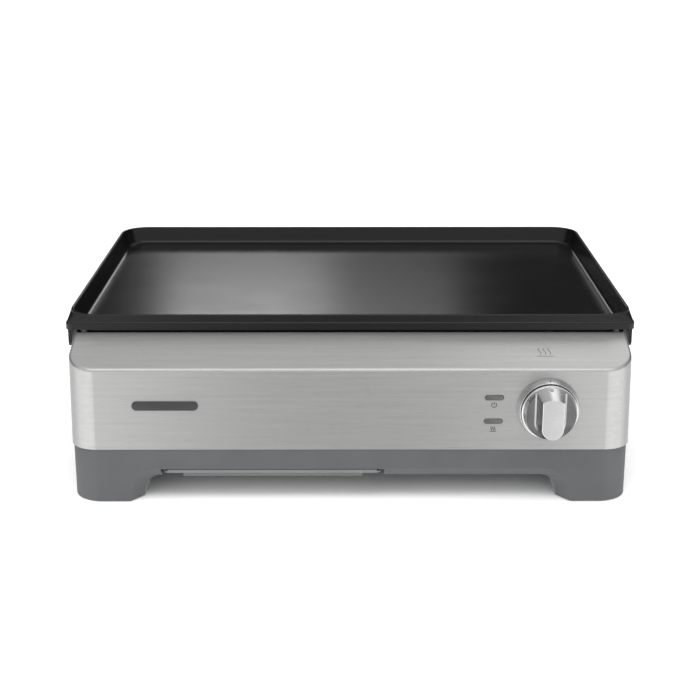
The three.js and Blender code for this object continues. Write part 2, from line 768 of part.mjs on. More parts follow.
const GRIP_HALF = 8.7;
const SCOOP_FLOOR = 14;
const SHAFT_RADIUS = 3;

function knob() {
  const body = solidOf(turned([
    [0, KNOB_REACH - 5],
    [SHAFT_RADIUS + 0.4, KNOB_REACH - 5],
    [SHAFT_RADIUS + 0.4, 4],
    [7, 4],
    [7, 9],
    [22, 9],
    [22.8, 9.8],
    [22.8, 11],
    [21.6, 12.6],
    [16.2, KNOB_REACH - 0.8],
    [15.4, KNOB_REACH],
    [0, KNOB_REACH],
  ], 48));
  // The grip's outline seen from the front: round below, cut off by the cone above.
  const grip = new THREE.Shape();
  grip.moveTo(GRIP_HALF, 30);
  grip.lineTo(-GRIP_HALF, 30);
  grip.absarc(0, GRIP_HALF - 16, GRIP_HALF, Math.PI, 2 * Math.PI);
  const front = alongZ(grip, 0, 2 * KNOB_REACH, 6);
  const scoops = block(-30, 30, -30, 30, SCOOP_FLOOR, 2 * KNOB_REACH).subtract(front);
  return piece("control_knob", body.subtract(scoops), FINISH.chrome);
}

function thermostatShaft() {
  return piece("thermostat_shaft", drum(SHAFT_RADIUS, -13, KNOB_REACH - 5 - FIT, 16), FINISH.steel);
}

// A cone-shaped ring fixed to the front face round the knob's skirt.
function knobBezel() {
  const low = FIT;
  const ring = solidOf(turned([
    [SHAFT_HOLE, low],
    [BEZEL_RADIUS, low],
    [BEZEL_RADIUS, low + 1.2],
    [23.7, 8.4],
    [22.3, 8.4],
    [23.4, low + 1.2],
    [SHAFT_HOLE, low + 1.2],
    [SHAFT_HOLE, low],
  ], 48));
  return piece("knob_bezel", screwHoles(ring, low - 1, low + PAST), FINISH.chrome);
}

function screwHoles(solid, low, high) {
  let cut = solid;
  for (const x of [-CONTROL_SCREW.offset, CONTROL_SCREW.offset]) {
    cut = cut.subtract(uprightDrum(CONTROL_SCREW.hole, x, 0, low, high, 10));
  }
  return cut;
}

function thermostatBracket() {
  const front = -SHEET - FIT;
  let plate = block(-26, 26, -20, 20, front - 1.5, front);
  plate = plate.subtract(uprightDrum(SHAFT_HOLE, 0, 0, front - PAST, 0));
  return piece("thermostat_bracket", screwHoles(plate, front - PAST, 0), FINISH.aluminium);
}

function thermostatBody() {
  const front = -SHEET - 1.5 - 2 * FIT;
  let body = block(-19, 19, -17, 17, front - 5, front);
  body = body.add(uprightDrum(17, 0, 0, -BODY_REAR, front - 4, 28));
  body = body.subtract(uprightDrum(SHAFT_RADIUS + 0.4, 0, 0, -14, 0, 16));
  return piece("thermostat_body", screwHoles(body, -12, 0), FINISH.ceramic);
}

function indicator(level, [x, z]) {
  const lens = alongY(lensOutline(x, z, 0), -0.6, 3);
  const lamp = levelDrum(2.2, x, z, 3.4, 14, 12);
  return [
    piece("indicator_lens_" + level, lens, FINISH.lens),
    piece("indicator_lamp_" + level, lamp, FINISH.lamp),
  ];
}

// A folded strip behind the front face that holds both lamps.
function lampBracket() {
  const face = SHEET + FIT;
  const [low, high] = [62, 100];
  const section = polygon([
    [face, low], [8, low], [8, high], [face, high], [face, high - 1.2],
    [6.8, high - 1.2], [6.8, low + 1.2], [face, low + 1.2],
  ]);
  let strip = alongX(section, 106, 126);
  for (const [x, z] of Object.values(LENSES)) {
    strip = strip.subtract(levelDrum(2.6, x, z, 5, 10, 12));
  }
  return piece("lamp_bracket", strip, FINISH.aluminium);
}

// A standing sheet that keeps the reflector's heat off the controls.
function controlHeatShield() {
  const foot = FLOOR_TOP + FIT;
  const [front, back, top] = [45, 46.2, 104];
  const section = polygon([[front, foot], [60, foot], [60, foot + 1.2], [back, foot + 1.2], [back, top], [front, top]]);
  return piece("control_heat_shield", alongX(section, 96, 188), FINISH.aluminium);
}

// ---- drip tray ----

// The pan's section in Y and Z, moved in from its outer faces.
function panSection(inset, top) {
  return polygon([
    [PAN_FRONT + inset, top],
    [PAN_FRONT + 0.6 + inset, PAN_STEP + inset * 0.8],
    [42 + inset * 0.4, PAN_LOW + inset],
    [PAN_REAR - 6 - inset * 0.4, PAN_LOW + inset],
    [PAN_REAR - inset, top],
  ]);
}

function panSolid(inset, top) {
  const half = PAN_HALF - inset;
  const across = alongX(panSection(inset, top), DRAIN_X - half, DRAIN_X + half);
  const ends = roundedRect(DRAIN_X - half, PAN_LOW + inset, DRAIN_X + half, top + 20, 6 - inset);
  return across.intersect(alongY(ends, 0, PAN_REAR + PAST));
}

function dripTray() {
  const rim = TRAY_LEDGE + TRAY_WALL;
  const outline = roundedRect(DRAIN_X - TRAY_HALF, TRAY_FRONT, DRAIN_X + TRAY_HALF, TRAY_REAR, 5);
  let tray = alongZ(outline, TRAY_LEDGE, rim);
  tray = tray.add(panSolid(0, rim));
  tray = tray.subtract(panSolid(TRAY_WALL, rim + PAST));
  return piece("drip_tray", tray, FINISH.tray);
}

// ---- griddle plate ----

function plateOutline(out, corner) {
  return roundedRect(-PLATE_HALF - out, PLATE_FRONT - out, PLATE_HALF + out, PLATE_REAR + out, corner);
}

function cookingWell() {
  const inset = RIM_WALL + WELL_DRAFT;
  const foot = plateOutline(-inset, RIM_CORNER - inset);
  const well = new THREE.ExtrudeGeometry(foot, {
    depth: 2,
    bevelThickness: PLATE_TOP - COOK_HEIGHT,
    bevelSize: WELL_DRAFT,
    bevelSegments: 1,
    curveSegments: 4,
  });
  return solidOf(well.translate(0, 0, PLATE_TOP));
}

// Walls that hang below the flange at the sides and the rear, outside the steel housing.
function plateSkirt() {
  const outer = alongZ(plateOutline(SKIRT_OUT, 5), SKIRT_LOW, FLANGE_LOW + 1);
  const inner = alongZ(plateOutline(SKIRT_OUT - SKIRT_WALL, 3), SKIRT_LOW - PAST, FLANGE_LOW);
  const side = PLATE_HALF + SKIRT_OUT - SKIRT_WALL;
  const open = block(-side, side, PLATE_FRONT - PAST, PLATE_FRONT + 2 * PAST, SKIRT_LOW - PAST, FLANGE_LOW);
  return outer.subtract(inner).subtract(open);
}

function griddlePlate() {
  const bodyHalf = PLATE_HALF - 2;
  const body = roundedRect(-bodyHalf, PLATE_FRONT + 4.2, bodyHalf, PLATE_REAR - 2, 20);
  let plate = alongZ(plateOutline(0, RIM_CORNER), FLANGE_LOW, PLATE_TOP, 4);
  plate = plate.add(alongZ(plateOutline(SKIRT_OUT, 5), FLANGE_LOW, FLANGE_HIGH));
  plate = plate.add(alongZ(body, PLATE_UNDER, FLANGE_LOW + 1));
  plate = plate.add(plateSkirt());
  plate = plate.subtract(cookingWell());
  plate = plate.add(uprightDrum(DRAIN_RADIUS + 2, DRAIN_X, DRAIN_Y, 116, PLATE_UNDER + 1, 24));
  plate = plate.subtract(uprightDrum(18, DRAIN_X, DRAIN_Y, COOK_HEIGHT - 1.2, PLATE_TOP + PAST, 32));
  plate = plate.subtract(uprightDrum(DRAIN_RADIUS, DRAIN_X, DRAIN_Y, 100, PLATE_TOP + PAST, 24));
  return piece("griddle_plate", plate, FINISH.nonStick);
}

// ---- assembly ----

function griddle() {
  const whole = new THREE.Group();
  const base = new THREE.Group();
  base.add(baseShell(), trayRunner("left", -1), trayRunner("right", 1));
  footPads(base);
  baseScrews(base);

  const housing = new THREE.Group();
  housing.add(steelHousing(), badge(), rearPanel(), cordGland(), lampBracket());
  rearScrews(housing);
  for (const [level, place] of Object.entries(LENSES)) {
    housing.add(...indicator(level, place));
  }

  const heater = new THREE.Group();
  heater.add(plateRail("left", -1), plateRail("right", 1), plateRest("left", -1), plateRest("right", 1));
  heater.add(heatReflector(), heatingElement(), greaseChute(), sensorBulb(), thermalFuse());
  heater.add(tubeStand("sensor_stand", BULB.x, 151, BULB.z, BULB.radius, 0));
  elementStands(heater);
  for (const [side, x] of Object.entries(PIN_XS)) {
    heater.add(...elementEnd(side, x));
  }

  const electrics = new THREE.Group();
  electrics.add(terminalBlock(), controlHeatShield(), ...wiring());

  whole.add(base, housing, heater, electrics, controlGroup(), dripTray(), griddlePlate());
  whole.position.y = (KNOB_REACH - PLATE_REAR - SKIRT_OUT) / 2;
  return whole;
}

export default griddle();
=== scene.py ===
"""An electric griddle on a pale floor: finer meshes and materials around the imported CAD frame."""

import json
import math

import bmesh
import bpy
from mathutils import Matrix, Vector


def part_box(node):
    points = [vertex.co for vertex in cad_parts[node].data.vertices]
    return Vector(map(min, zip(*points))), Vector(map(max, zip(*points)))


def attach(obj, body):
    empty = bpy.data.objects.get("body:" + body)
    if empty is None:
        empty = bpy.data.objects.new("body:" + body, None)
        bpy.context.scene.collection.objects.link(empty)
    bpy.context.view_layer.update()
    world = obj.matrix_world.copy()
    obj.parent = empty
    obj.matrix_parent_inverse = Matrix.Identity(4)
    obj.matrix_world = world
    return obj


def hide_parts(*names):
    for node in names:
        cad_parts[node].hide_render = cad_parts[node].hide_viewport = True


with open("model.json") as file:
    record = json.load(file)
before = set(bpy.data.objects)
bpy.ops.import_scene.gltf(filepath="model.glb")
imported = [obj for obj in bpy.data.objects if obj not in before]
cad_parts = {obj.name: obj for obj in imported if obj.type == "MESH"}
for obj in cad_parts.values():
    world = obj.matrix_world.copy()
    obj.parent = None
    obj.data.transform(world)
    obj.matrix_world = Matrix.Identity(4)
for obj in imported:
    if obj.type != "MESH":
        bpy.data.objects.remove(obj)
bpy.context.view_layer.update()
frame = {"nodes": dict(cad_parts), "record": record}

MM = 0.001
PAST = 6 * MM  # how far a cutting solid runs past the face that it opens

# ---- places taken from the frame ----

steel_lo, steel_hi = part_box("steel_housing")
base_lo, base_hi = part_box("base_shell")
plate_lo, plate_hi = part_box("griddle_plate")
tray_lo, tray_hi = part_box("drip_tray")
bezel_lo, bezel_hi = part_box("knob_bezel")
FRONT = steel_lo.y
REAR = steel_hi.y
MIDDLE_Y = (FRONT + REAR) / 2
STEEL_HALF = steel_hi.x
STEEL_LOW = steel_lo.z
TRAY_X = (tray_lo.x + tray_hi.x) / 2
KNOB_X = (bezel_lo.x + bezel_hi.x) / 2
KNOB_Z = (bezel_lo.z + bezel_hi.z) / 2
DRAIN = (TRAY_X, FRONT + 84 * MM)


# ---- mesh tools ----


def new_object(name, mesh):
    obj = bpy.data.objects.new(name, mesh)
    bpy.context.scene.collection.objects.link(obj)
    return obj


def mesh_from(name, points, faces):
    """A mesh object from points in metres, with its faces turned to point outwards."""
    mesh = bpy.data.meshes.new(name)
    mesh.from_pydata(points, [], faces)
    made = bmesh.new()
    made.from_mesh(mesh)
    bmesh.ops.remove_doubles(made, verts=made.verts, dist=1e-7)
    bmesh.ops.dissolve_degenerate(made, dist=1e-8, edges=made.edges)
    bmesh.ops.recalc_face_normals(made, faces=made.faces)
    made.to_mesh(mesh)
    made.free()
    return new_object(name, mesh)


def baked(obj):
    """Applies the object's modifiers to its mesh."""
    bpy.context.view_layer.update()
    graph = bpy.context.evaluated_depsgraph_get()
    mesh = bpy.data.meshes.new_from_object(obj.evaluated_get(graph))
    old = obj.data
    obj.modifiers.clear()
    obj.data = mesh
    if old.users == 0:
        bpy.data.meshes.remove(old)
    return obj


def combined(obj, other, how="DIFFERENCE"):
    """Cuts other out of obj, joins them or keeps what they share, and removes other."""
    step = obj.modifiers.new("combine", "BOOLEAN")
    step.operation = how
    step.solver = "EXACT"
    step.material_mode = "TRANSFER"
    step.object = other
    baked(obj)
    mesh = other.data
    bpy.data.objects.remove(other)
    bpy.data.meshes.remove(mesh)
    return obj


def merged_flats(obj):
    """Joins each flat face's triangles."""
    made = bmesh.new()
    made.from_mesh(obj.data)
    bmesh.ops.remove_doubles(made, verts=made.verts, dist=1e-6)
    flat = math.radians(0.5)
    bmesh.ops.dissolve_limit(made, angle_limit=flat, verts=made.verts, edges=made.edges)
    bmesh.ops.recalc_face_normals(made, faces=made.faces)
    made.to_mesh(obj.data)
    made.free()
    return obj


def smooth(obj, angle=35, weighted=False):
    """Smooth shading with edges over the angle kept sharp, and flat faces kept flat if weighted."""
    obj.data.shade_smooth()
    obj.data.set_sharp_from_angle(angle=math.radians(angle))
    if weighted:
        obj.modifiers.new("normals", "WEIGHTED_NORMAL").keep_sharp = True
        baked(obj)
    return obj


def softened(obj, width, segments=3, angle=28):
    """Rounds the object's edges."""
    bevel = obj.modifiers.new("edges", "BEVEL")
    bevel.width = width
    bevel.segments = segments
    bevel.limit_method = "ANGLE"
    bevel.angle_limit = math.radians(angle)
    bevel.use_clamp_overlap = True
    baked(obj)
    return smooth(obj, 40, weighted=True)


def rounded_ring(x0, x1, y0, y1, radius, arc=16):
    """2-D points round a rectangle with round corners, anticlockwise from the front right."""
    corners = [
        (x1 - radius, y0 + radius, -90),
        (x1 - radius, y1 - radius, 0),
        (x0 + radius, y1 - radius, 90),
        (x0 + radius, y0 + radius, 180),
    ]
    points = []
    for cx, cy, start in corners:
        for i in range(arc + 1):
            angle = math.radians(start + 90 * i / arc)
            points.append((cx + radius * math.cos(angle), cy + radius * math.sin(angle)))
    return points


def lofted(name, rings, caps=True):
    """A skin through rings of 3-D points that all have the same number of points."""
    count = len(rings[0])
    points = [p for ring in rings for p in ring]
    faces = []
    for k in range(len(rings) - 1):
        a, b = k * count, (k + 1) * count
        faces += [(a + i, a + (i + 1) % count, b + (i + 1) % count, b + i) for i in range(count)]
    if caps:
        faces.append(tuple(range(count))[::-1])
        faces.append(tuple((len(rings) - 1) * count + i for i in range(count)))
    return mesh_from(name, points, faces)


def along(axis, outline, at):
    """A 2-D outline as 3-D points: it holds (Y, Z) for axis X, (X, Z) for Y and (X, Y) for Z."""
    if axis == "X":
        return [Vector((at, p[0], p[1])) for p in outline]
    if axis == "Y":
        return [Vector((p[0], at, p[1])) for p in outline]
    return [Vector((p[0], p[1], at)) for p in outline]


def prism(name, outline, low, high, axis="Z"):
    return lofted(name, [along(axis, outline, low), along(axis, outline, high)])


def block(name, x0, x1, y0, y1, z0, z1):
    return prism(name, [(x0, y0), (x1, y0), (x1, y1), (x0, y1)], z0, z1)


def circle(radius, x=0.0, y=0.0, count=48):
    turns = [2 * math.pi * i / count for i in range(count)]
    return [(x + radius * math.cos(t), y + radius * math.sin(t)) for t in turns]


def turned(name, profile, count=96, place=Matrix.Identity(4)):
    """A profile of (radius, height) turned about Z, then placed. It starts and ends on the axis,
    or closes on itself."""
    rings = [[Vector((*p, h)) for p in circle(r, count=count)] for r, h in profile]
    obj = lofted(name, rings, caps=False)
    obj.data.transform(place)
    return obj


def rounded_profile(points, radius, steps=4):
    """A profile with every corner but the first and the last rounded."""
    made = [points[0]]
    for before, corner, after in zip(points, points[1:], points[2:]):
        corner = Vector(corner)
        back, ahead = Vector(before) - corner, Vector(after) - corner
        reach = min(radius, back.length * 0.45, ahead.length * 0.45)
        start = corner + back.normalized() * reach
        end = corner + ahead.normalized() * reach
        for i in range(steps + 1):
            t = i / steps
            made.append(tuple((1 - t) ** 2 * start + 2 * t * (1 - t) * corner + t * t * end))
    made.append(points[-1])
    return made


def facing_front(x, z):
    """Turns a piece made along +Z so that it stands out from the front face at (x, z)."""
    return Matrix.Translation((x, FRONT, z)) @ Matrix.Rotation(math.radians(90), 4, "X")


# ---- material tools ----


def colour(value):
    if isinstance(value, (int, float)):
        return (value, value, value, 1)
    return (*value, 1)


def scaled(tone, by):
    return tuple(c * by for c in tone)


class Nodes:
    """Short calls for building one material's node tree."""

    def __init__(self, name, **values):
        self.material = bpy.data.materials.new(name)
        self.material.use_nodes = True
        self.tree = self.material.node_tree
        self.shader = self.tree.nodes["Principled BSDF"]
        for key, value in values.items():
            self.shader.inputs[key.replace("_", " ")].default_value = value

    def add(self, kind, **values):
        node = self.tree.nodes.new(kind)
        for key, value in values.items():
            setattr(node, key, value)
        return node

    def link(self, output, target):
        self.tree.links.new(output, target)

    def drive(self, name, output):
        self.link(output, self.shader.inputs[name])

    def noise(self, scale, detail=3.0, stretch=(1, 1, 1), roughness=0.55):
        coords = self.add("ShaderNodeTexCoord")
        mapping = self.add("ShaderNodeMapping")
        mapping.inputs["Scale"].default_value = stretch
        node = self.add("ShaderNodeTexNoise")
        node.inputs["Scale"].default_value = scale
        node.inputs["Detail"].default_value = detail
        node.inputs["Roughness"].default_value = roughness
        self.link(coords.outputs["Object"], mapping.inputs["Vector"])
        self.link(mapping.outputs["Vector"], node.inputs["Vector"])
        return node.outputs["Fac"]

    def ramp(self, source, low, high, start=0.3, end=0.7):
        """Maps source from start..end to low..high, which are numbers or colours."""
        node = self.add("ShaderNodeValToRGB")
        stops = node.color_ramp.elements
        stops[0].position, stops[1].position = start, end
        stops[0].color, stops[1].color = colour(low), colour(high)
        self.link(source, node.inputs["Fac"])
        return node.outputs["Color"]

    def mix(self, fac, a, b):
        """Colour a where fac is 0 and b where it is 1; each is a socket, a number or a colour."""
        node = self.add("ShaderNodeMix", data_type="RGBA")
        self.link(fac, node.inputs["Factor"])
        for value, socket in ((a, node.inputs[6]), (b, node.inputs[7])):
            if isinstance(value, bpy.types.NodeSocket):
                self.link(value, socket)
            else:
                socket.default_value = colour(value)
        return node.outputs[2]

    def bump(self, *heights):
        """Chains bumps, each (height socket, strength, distance in metres)."""
        normal = None
        for height, strength, distance in heights:
            node = self.add("ShaderNodeBump")
            node.inputs["Strength"].default_value = strength
            node.inputs["Distance"].default_value = distance
            self.link(height, node.inputs["Height"])
            if normal:
                self.link(normal, node.inputs["Normal"])
            normal = node.outputs["Normal"]
        self.drive("Normal", normal)

    def edge_mask(self, radius):
        """Near 1 close to a sharp edge and 0 elsewhere."""
        bevel = self.add("ShaderNodeBevel", samples=4)
        bevel.inputs["Radius"].default_value = radius
        geometry = self.add("ShaderNodeNewGeometry")
        dot = self.add("ShaderNodeVectorMath", operation="DOT_PRODUCT")
        self.link(bevel.outputs["Normal"], dot.inputs[0])
        self.link(geometry.outputs["Normal"], dot.inputs[1])
        return self.ramp(dot.outputs["Value"], 1, 0, 0.92, 0.995)


# ---- materials ----


def moulded_plastic(name, tone, roughness, grain):
    m = Nodes(name, IOR=1.46)
    cloud = m.noise(35, 3)
    grains = m.noise(2600, 2)
    body = m.ramp(cloud, scaled(tone, 0.94), scaled(tone, 1.06))
    # the tone is lighter within 0.7 mm of sharp edges
    m.drive("Base Color", m.mix(m.edge_mask(0.7 * MM), body, scaled(tone, 1.35)))
    m.drive("Roughness", m.ramp(grains, roughness - 0.06, roughness + 0.08))
    m.bump((grains, grain, 0.02 * MM), (cloud, 0.06, 0.2 * MM))
    return m.material


def brushed_steel(name, tone, roughness):
    """Steel brushed across the U of the mesh's UV map called brush, so highlights spread along U.
    The brushing runs along X, and along Y on the sides."""
    m = Nodes(name, Metallic=0.8, Anisotropic=0.8)
    facing = m.add("ShaderNodeSeparateXYZ")
    m.link(m.add("ShaderNodeNewGeometry").outputs["Normal"], facing.inputs["Vector"])
    aside = m.add("ShaderNodeMath", operation="ABSOLUTE")
    m.link(facing.outputs["X"], aside.inputs[0])
    side = m.ramp(aside.outputs[0], 0, 1, 0.5, 0.9)
    streaks = m.mix(side, m.noise(10, 5, (1, 34, 34), 0.7), m.noise(10, 5, (34, 1, 34), 0.7))
    hairs = m.mix(side, m.noise(42, 3, (1, 60, 60), 0.6), m.noise(42, 3, (60, 1, 60), 0.6))
    patches = m.noise(7, 2)
    m.drive("Base Color", m.ramp(streaks, scaled(tone, 0.93), scaled(tone, 1.06)))
    m.drive("Roughness", m.ramp(hairs, roughness - 0.03, roughness + 0.05))
    m.bump((hairs, 0.12, 0.01 * MM), (patches, 0.03, 0.3 * MM))
    tangent = m.add("ShaderNodeTangent", direction_type="UV_MAP", uv_map="brush")
    m.drive("Tangent", tangent.outputs["Tangent"])
    return m.material


def rolled_metal(name, tone, roughness, stains):
    m = Nodes(name, Metallic=1.0)
    cloud = m.noise(28, 5)
    scratch = m.noise(40, 4, (1, 30, 30))
    m.drive("Base Color", m.ramp(cloud, scaled(tone, 1 - stains), tone))
    m.drive("Roughness", m.ramp(scratch, roughness - 0.07, roughness + 0.08))
    m.bump((cloud, 0.05, 0.3 * MM), (scratch, 0.04, 0.05 * MM))
    return m.material


def non_stick():
    """Satin black coating over a cast plate: a fine pebble, faint flecks and a slight waviness."""
    m = Nodes("non_stick_coating", IOR=1.36)
    pebble = m.noise(1900, 3)
    flecks = m.noise(3200, 1)
    wave = m.noise(16, 2)
    m.drive("Base Color", m.ramp(flecks, 0.003, 0.006, 0.45, 0.75))
    m.drive("Roughness", m.ramp(wave, 0.20, 0.25))
    m.bump((pebble, 0.12, 0.02 * MM), (wave, 0.03, 0.3 * MM))
    return m.material


def satin_chrome(name, tone, roughness):
    m = Nodes(name, Metallic=1.0)
    cloud = m.noise(60, 3)
    hair = m.noise(900, 2, (1, 1, 0.1))
    m.drive("Base Color", m.ramp(cloud, tone * 0.95, tone * 1.03))
    m.drive("Roughness", m.ramp(hair, roughness - 0.03, roughness + 0.05))
    m.bump((hair, 0.03, 0.01 * MM))
    return m.material


def rubber(name, tone):
    m = Nodes(name, IOR=1.5)
    grain = m.noise(1400, 3)
    dust = m.noise(120, 4)
    m.drive("Base Color", m.ramp(dust, tone, tone * 2.2))
    m.drive("Roughness", m.ramp(grain, 0.68, 0.88))
    m.bump((grain, 0.3, 0.03 * MM))
    return m.material


def ceramic():
    m = Nodes("unglazed_ceramic", IOR=1.55)
    cloud = m.noise(200, 4)
    m.drive("Base Color", m.ramp(cloud, (0.70, 0.66, 0.57), (0.82, 0.78, 0.69)))
    m.drive("Roughness", m.ramp(cloud, 0.5, 0.66))
    m.bump((cloud, 0.15, 0.05 * MM))
    return m.material


def element_sheath():
    """A tube darkened by heat, bluer and browner in patches."""
    m = Nodes("oxidised_sheath", Metallic=0.9)
    patches = m.noise(45, 4)
    grit = m.noise(900, 3)
    m.drive("Base Color", m.mix(patches, (0.07, 0.062, 0.058), (0.13, 0.115, 0.11)))
    m.drive("Roughness", m.ramp(grit, 0.42, 0.6))
    m.bump((grit, 0.2, 0.03 * MM))
    return m.material


def smoked_lens():
    m = Nodes("smoked_lens", IOR=1.45, Coat_Weight=0.2, Coat_Roughness=0.05)
    cloud = m.noise(400, 2)
    ribs = m.noise(30, 1, (40, 1, 1))
    m.drive("Base Color", m.ramp(cloud, 0.055, 0.075))
    m.drive("Roughness", m.ramp(ribs, 0.18, 0.28))
    return m.material


def lamp_glass():
    m = Nodes("glow_lamp", IOR=1.5, Transmission_Weight=0.7)
    cloud = m.noise(300, 2)
    m.drive("Base Color", m.ramp(cloud, (0.95, 0.55, 0.32), (1.0, 0.68, 0.45)))
    m.drive("Roughness", m.ramp(cloud, 0.03, 0.08))
    return m.material


def satin_print(name, tone):
    m = Nodes(name, IOR=1.45)
    grain = m.noise(1500, 2)
    m.drive("Base Color", m.ramp(grain, scaled(tone, 0.85), scaled(tone, 1.2)))
    m.drive("Roughness", m.ramp(grain, 0.38, 0.5))
    return m.material


def sleeving(name, tone):
    m = Nodes(name, IOR=1.45)
    weave = m.noise(700, 3)
    m.drive("Base Color", m.ramp(weave, scaled(tone, 0.8), scaled(tone, 1.15)))
    m.drive("Roughness", m.ramp(weave, 0.45, 0.6))
    m.bump((weave, 0.2, 0.03 * MM))
    return m.material


FINISHES = {
    "grey_plastic": moulded_plastic("base_plastic", (0.070, 0.073, 0.076), 0.52, 0.2),
    "tray_plastic": moulded_plastic("tray_plastic", (0.14, 0.14, 0.141), 0.42, 0.12),
    "brushed_steel": brushed_steel("brushed_steel", (0.36, 0.36, 0.357), 0.30),
    "non_stick": non_stick(),
    "satin_chrome": satin_chrome("satin_chrome", 0.52, 0.24),
    "black_rubber": rubber("black_rubber", 0.018),
    "folded_metal": rolled_metal("rolled_sheet", (0.56, 0.57, 0.58), 0.38, 0.12),
    "element_sheath": element_sheath(),
    "ceramic_white": ceramic(),
    "fastener_steel": rolled_metal("plated_steel", (0.50, 0.50, 0.50), 0.28, 0.08),
    "lens_grey": smoked_lens(),
    "lamp_glass": lamp_glass(),
    "dark_trim": satin_print("dark_print", (0.022, 0.022, 0.024)),
    "copper": rolled_metal("copper_tube", (0.62, 0.33, 0.20), 0.30, 0.25),
    "wire_brown": sleeving("brown_sleeving", (0.13, 0.06, 0.03)),
    "wire_blue": sleeving("blue_sleeving", (0.04, 0.12, 0.32)),
    "wire_green": sleeving("green_sleeving", (0.16, 0.32, 0.05)),
}
# darker chrome for the scoops' walls: painted shade in the recesses
SCOOP_PAINTED_SHADE = satin_chrome("painted_shade_chrome", 0.32, 0.28)
# near-black sheet for the tray's runners: painted shade where they show at both ends of the tray
RUNNER_PAINTED_SHADE = rolled_metal("runner_painted_shade_sheet", (0.08, 0.08, 0.085), 0.5, 0.15)


def finished(obj, body, slot, *nodes):
    """Gives a piece its finish and its body, and lets it stand for CAD nodes."""
    obj.data.materials.clear()
    obj.data.materials.append(FINISHES[slot])
    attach(obj, body)
    if nodes:
        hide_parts(*nodes)
    return obj


# ---- steel housing ----

STEEL_CORNER = 23 * MM
SHEET = 1.0 * MM
SIDE_LEAN = 0.015  # each side wall leans in this much for each millimetre of height
DECK_START = 115.2 * MM
DECK_SLOPE = math.radians(18.7)
DECK_END = FRONT + 49.5 * MM
DECK_RETURN = 124.4 * MM
WALL_TOP = 125.5 * MM
FOLD = 2.5 * MM
SHAFT_HOLE = 6 * MM
LENS_GAP = 0.3 * MM
LENS_HOLE_CORNER = 2.28 * MM
CARRY_TOP = 140 * MM  # above everything that the deck's profile cuts off
WINDOW_HALF = 182 * MM
WINDOW_LOW = 57 * MM
WINDOW_HIGH = 119 * MM


def deck_height(y, below=0.0):
    return DECK_START - below / math.cos(DECK_SLOPE) + (y - FRONT) * math.tan(DECK_SLOPE)


def brush_map(obj):
    """A UV map whose V runs along the brushing: level round the walls, and along X on the deck."""
    mesh = obj.data
    layer = mesh.uv_layers.new(name="brush")
    for face in mesh.polygons:
        level = Vector((-face.normal.y, face.normal.x, 0))
        run = level.normalized() if level.length > 0.75 else Vector((1, 0, 0))
        across = face.normal.cross(run)
        for loop in face.loop_indices:
            point = mesh.vertices[mesh.loops[loop].vertex_index].co
            layer.data[loop].uv = (point.dot(across), point.dot(run))
    return obj


def steel_plan(inset, arc=20):
    x = STEEL_HALF - inset
    return rounded_ring(-x, x, FRONT + inset, REAR - inset, STEEL_CORNER - inset, arc)


def steel_solid(name, inset, low, profile):
    """The housing's plan carried up, and cut off by a profile in Y and Z."""
    solid = prism(name, steel_plan(inset), low, CARRY_TOP)
    reach = STEEL_HALF + PAST
    return combined(solid, prism(name + "_profile", profile, -reach, reach, "X"), "INTERSECT")


def fold_edges(obj):
    """Rounds the deck's edges as the sheet's folds are: the rear one less than the others."""
    weights = obj.data.attributes.new("bevel_weight_edge", "FLOAT", "EDGE")
    points = obj.data.vertices
    near = 0.1 * MM
    for edge in obj.data.edges:
        ends = [points[v].co for v in edge.vertices]
        if all(abs(p.z - deck_height(p.y)) < near for p in ends):
            rear = all(abs(p.y - DECK_END) < near for p in ends)
            weights.data[edge.index].value = 0.45 if rear else 1.0
    bevel = obj.modifiers.new("fold", "BEVEL")
    bevel.width = FOLD
    bevel.segments = 6
    bevel.limit_method = "WEIGHT"
    return baked(obj)


def steel_housing():
    outer = steel_solid("housing_sheet", 0, STEEL_LOW, [
        (FRONT - PAST, STEEL_LOW - PAST),
        (REAR + PAST, STEEL_LOW - PAST),
        (REAR + PAST, WALL_TOP),
        (DECK_END, WALL_TOP),
        (DECK_END, deck_height(DECK_END)),
        (FRONT - PAST, deck_height(FRONT - PAST)),
    ])
    fold_edges(outer)
    combined(outer, steel_solid("hollow", SHEET, STEEL_LOW - PAST, [
        (FRONT - PAST, STEEL_LOW - 2 * PAST),
        (REAR + PAST, STEEL_LOW - 2 * PAST),
        (REAR + PAST, WALL_TOP + PAST),
        (DECK_END - 0.3 * MM, WALL_TOP + PAST),
        (DECK_END - 0.3 * MM, DECK_RETURN),
        (DECK_END - SHEET, DECK_RETURN),
        (DECK_END - SHEET, deck_height(DECK_END - SHEET, SHEET)),
        (FRONT - PAST, deck_height(FRONT - PAST, SHEET)),
    ]))
    for vertex in outer.data.vertices:
        vertex.co.x *= 1 - SIDE_LEAN * (vertex.co.z - STEEL_LOW) / STEEL_HALF
    rear = (REAR - 2 * SHEET, REAR + PAST)
    combined(outer, block("window", -WINDOW_HALF, WINDOW_HALF, *rear, WINDOW_LOW, WINDOW_HIGH))
    outlines = [circle(SHAFT_HOLE, KNOB_X, KNOB_Z, 32)]
    for level in ("upper", "lower"):
        lo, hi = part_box("indicator_lens_" + level)
        ring = (lo.x - LENS_GAP, hi.x + LENS_GAP, lo.z - LENS_GAP, hi.z + LENS_GAP)
        outlines.append(rounded_ring(*ring, LENS_HOLE_CORNER, 6))
    for outline in outlines:
        combined(outer, prism("hole", outline, FRONT - PAST, FRONT + PAST, "Y"))
    smooth(outer, 30, weighted=True)
    return finished(brush_map(outer), "base", "brushed_steel", "steel_housing")


steel_housing()


# ---- base ----

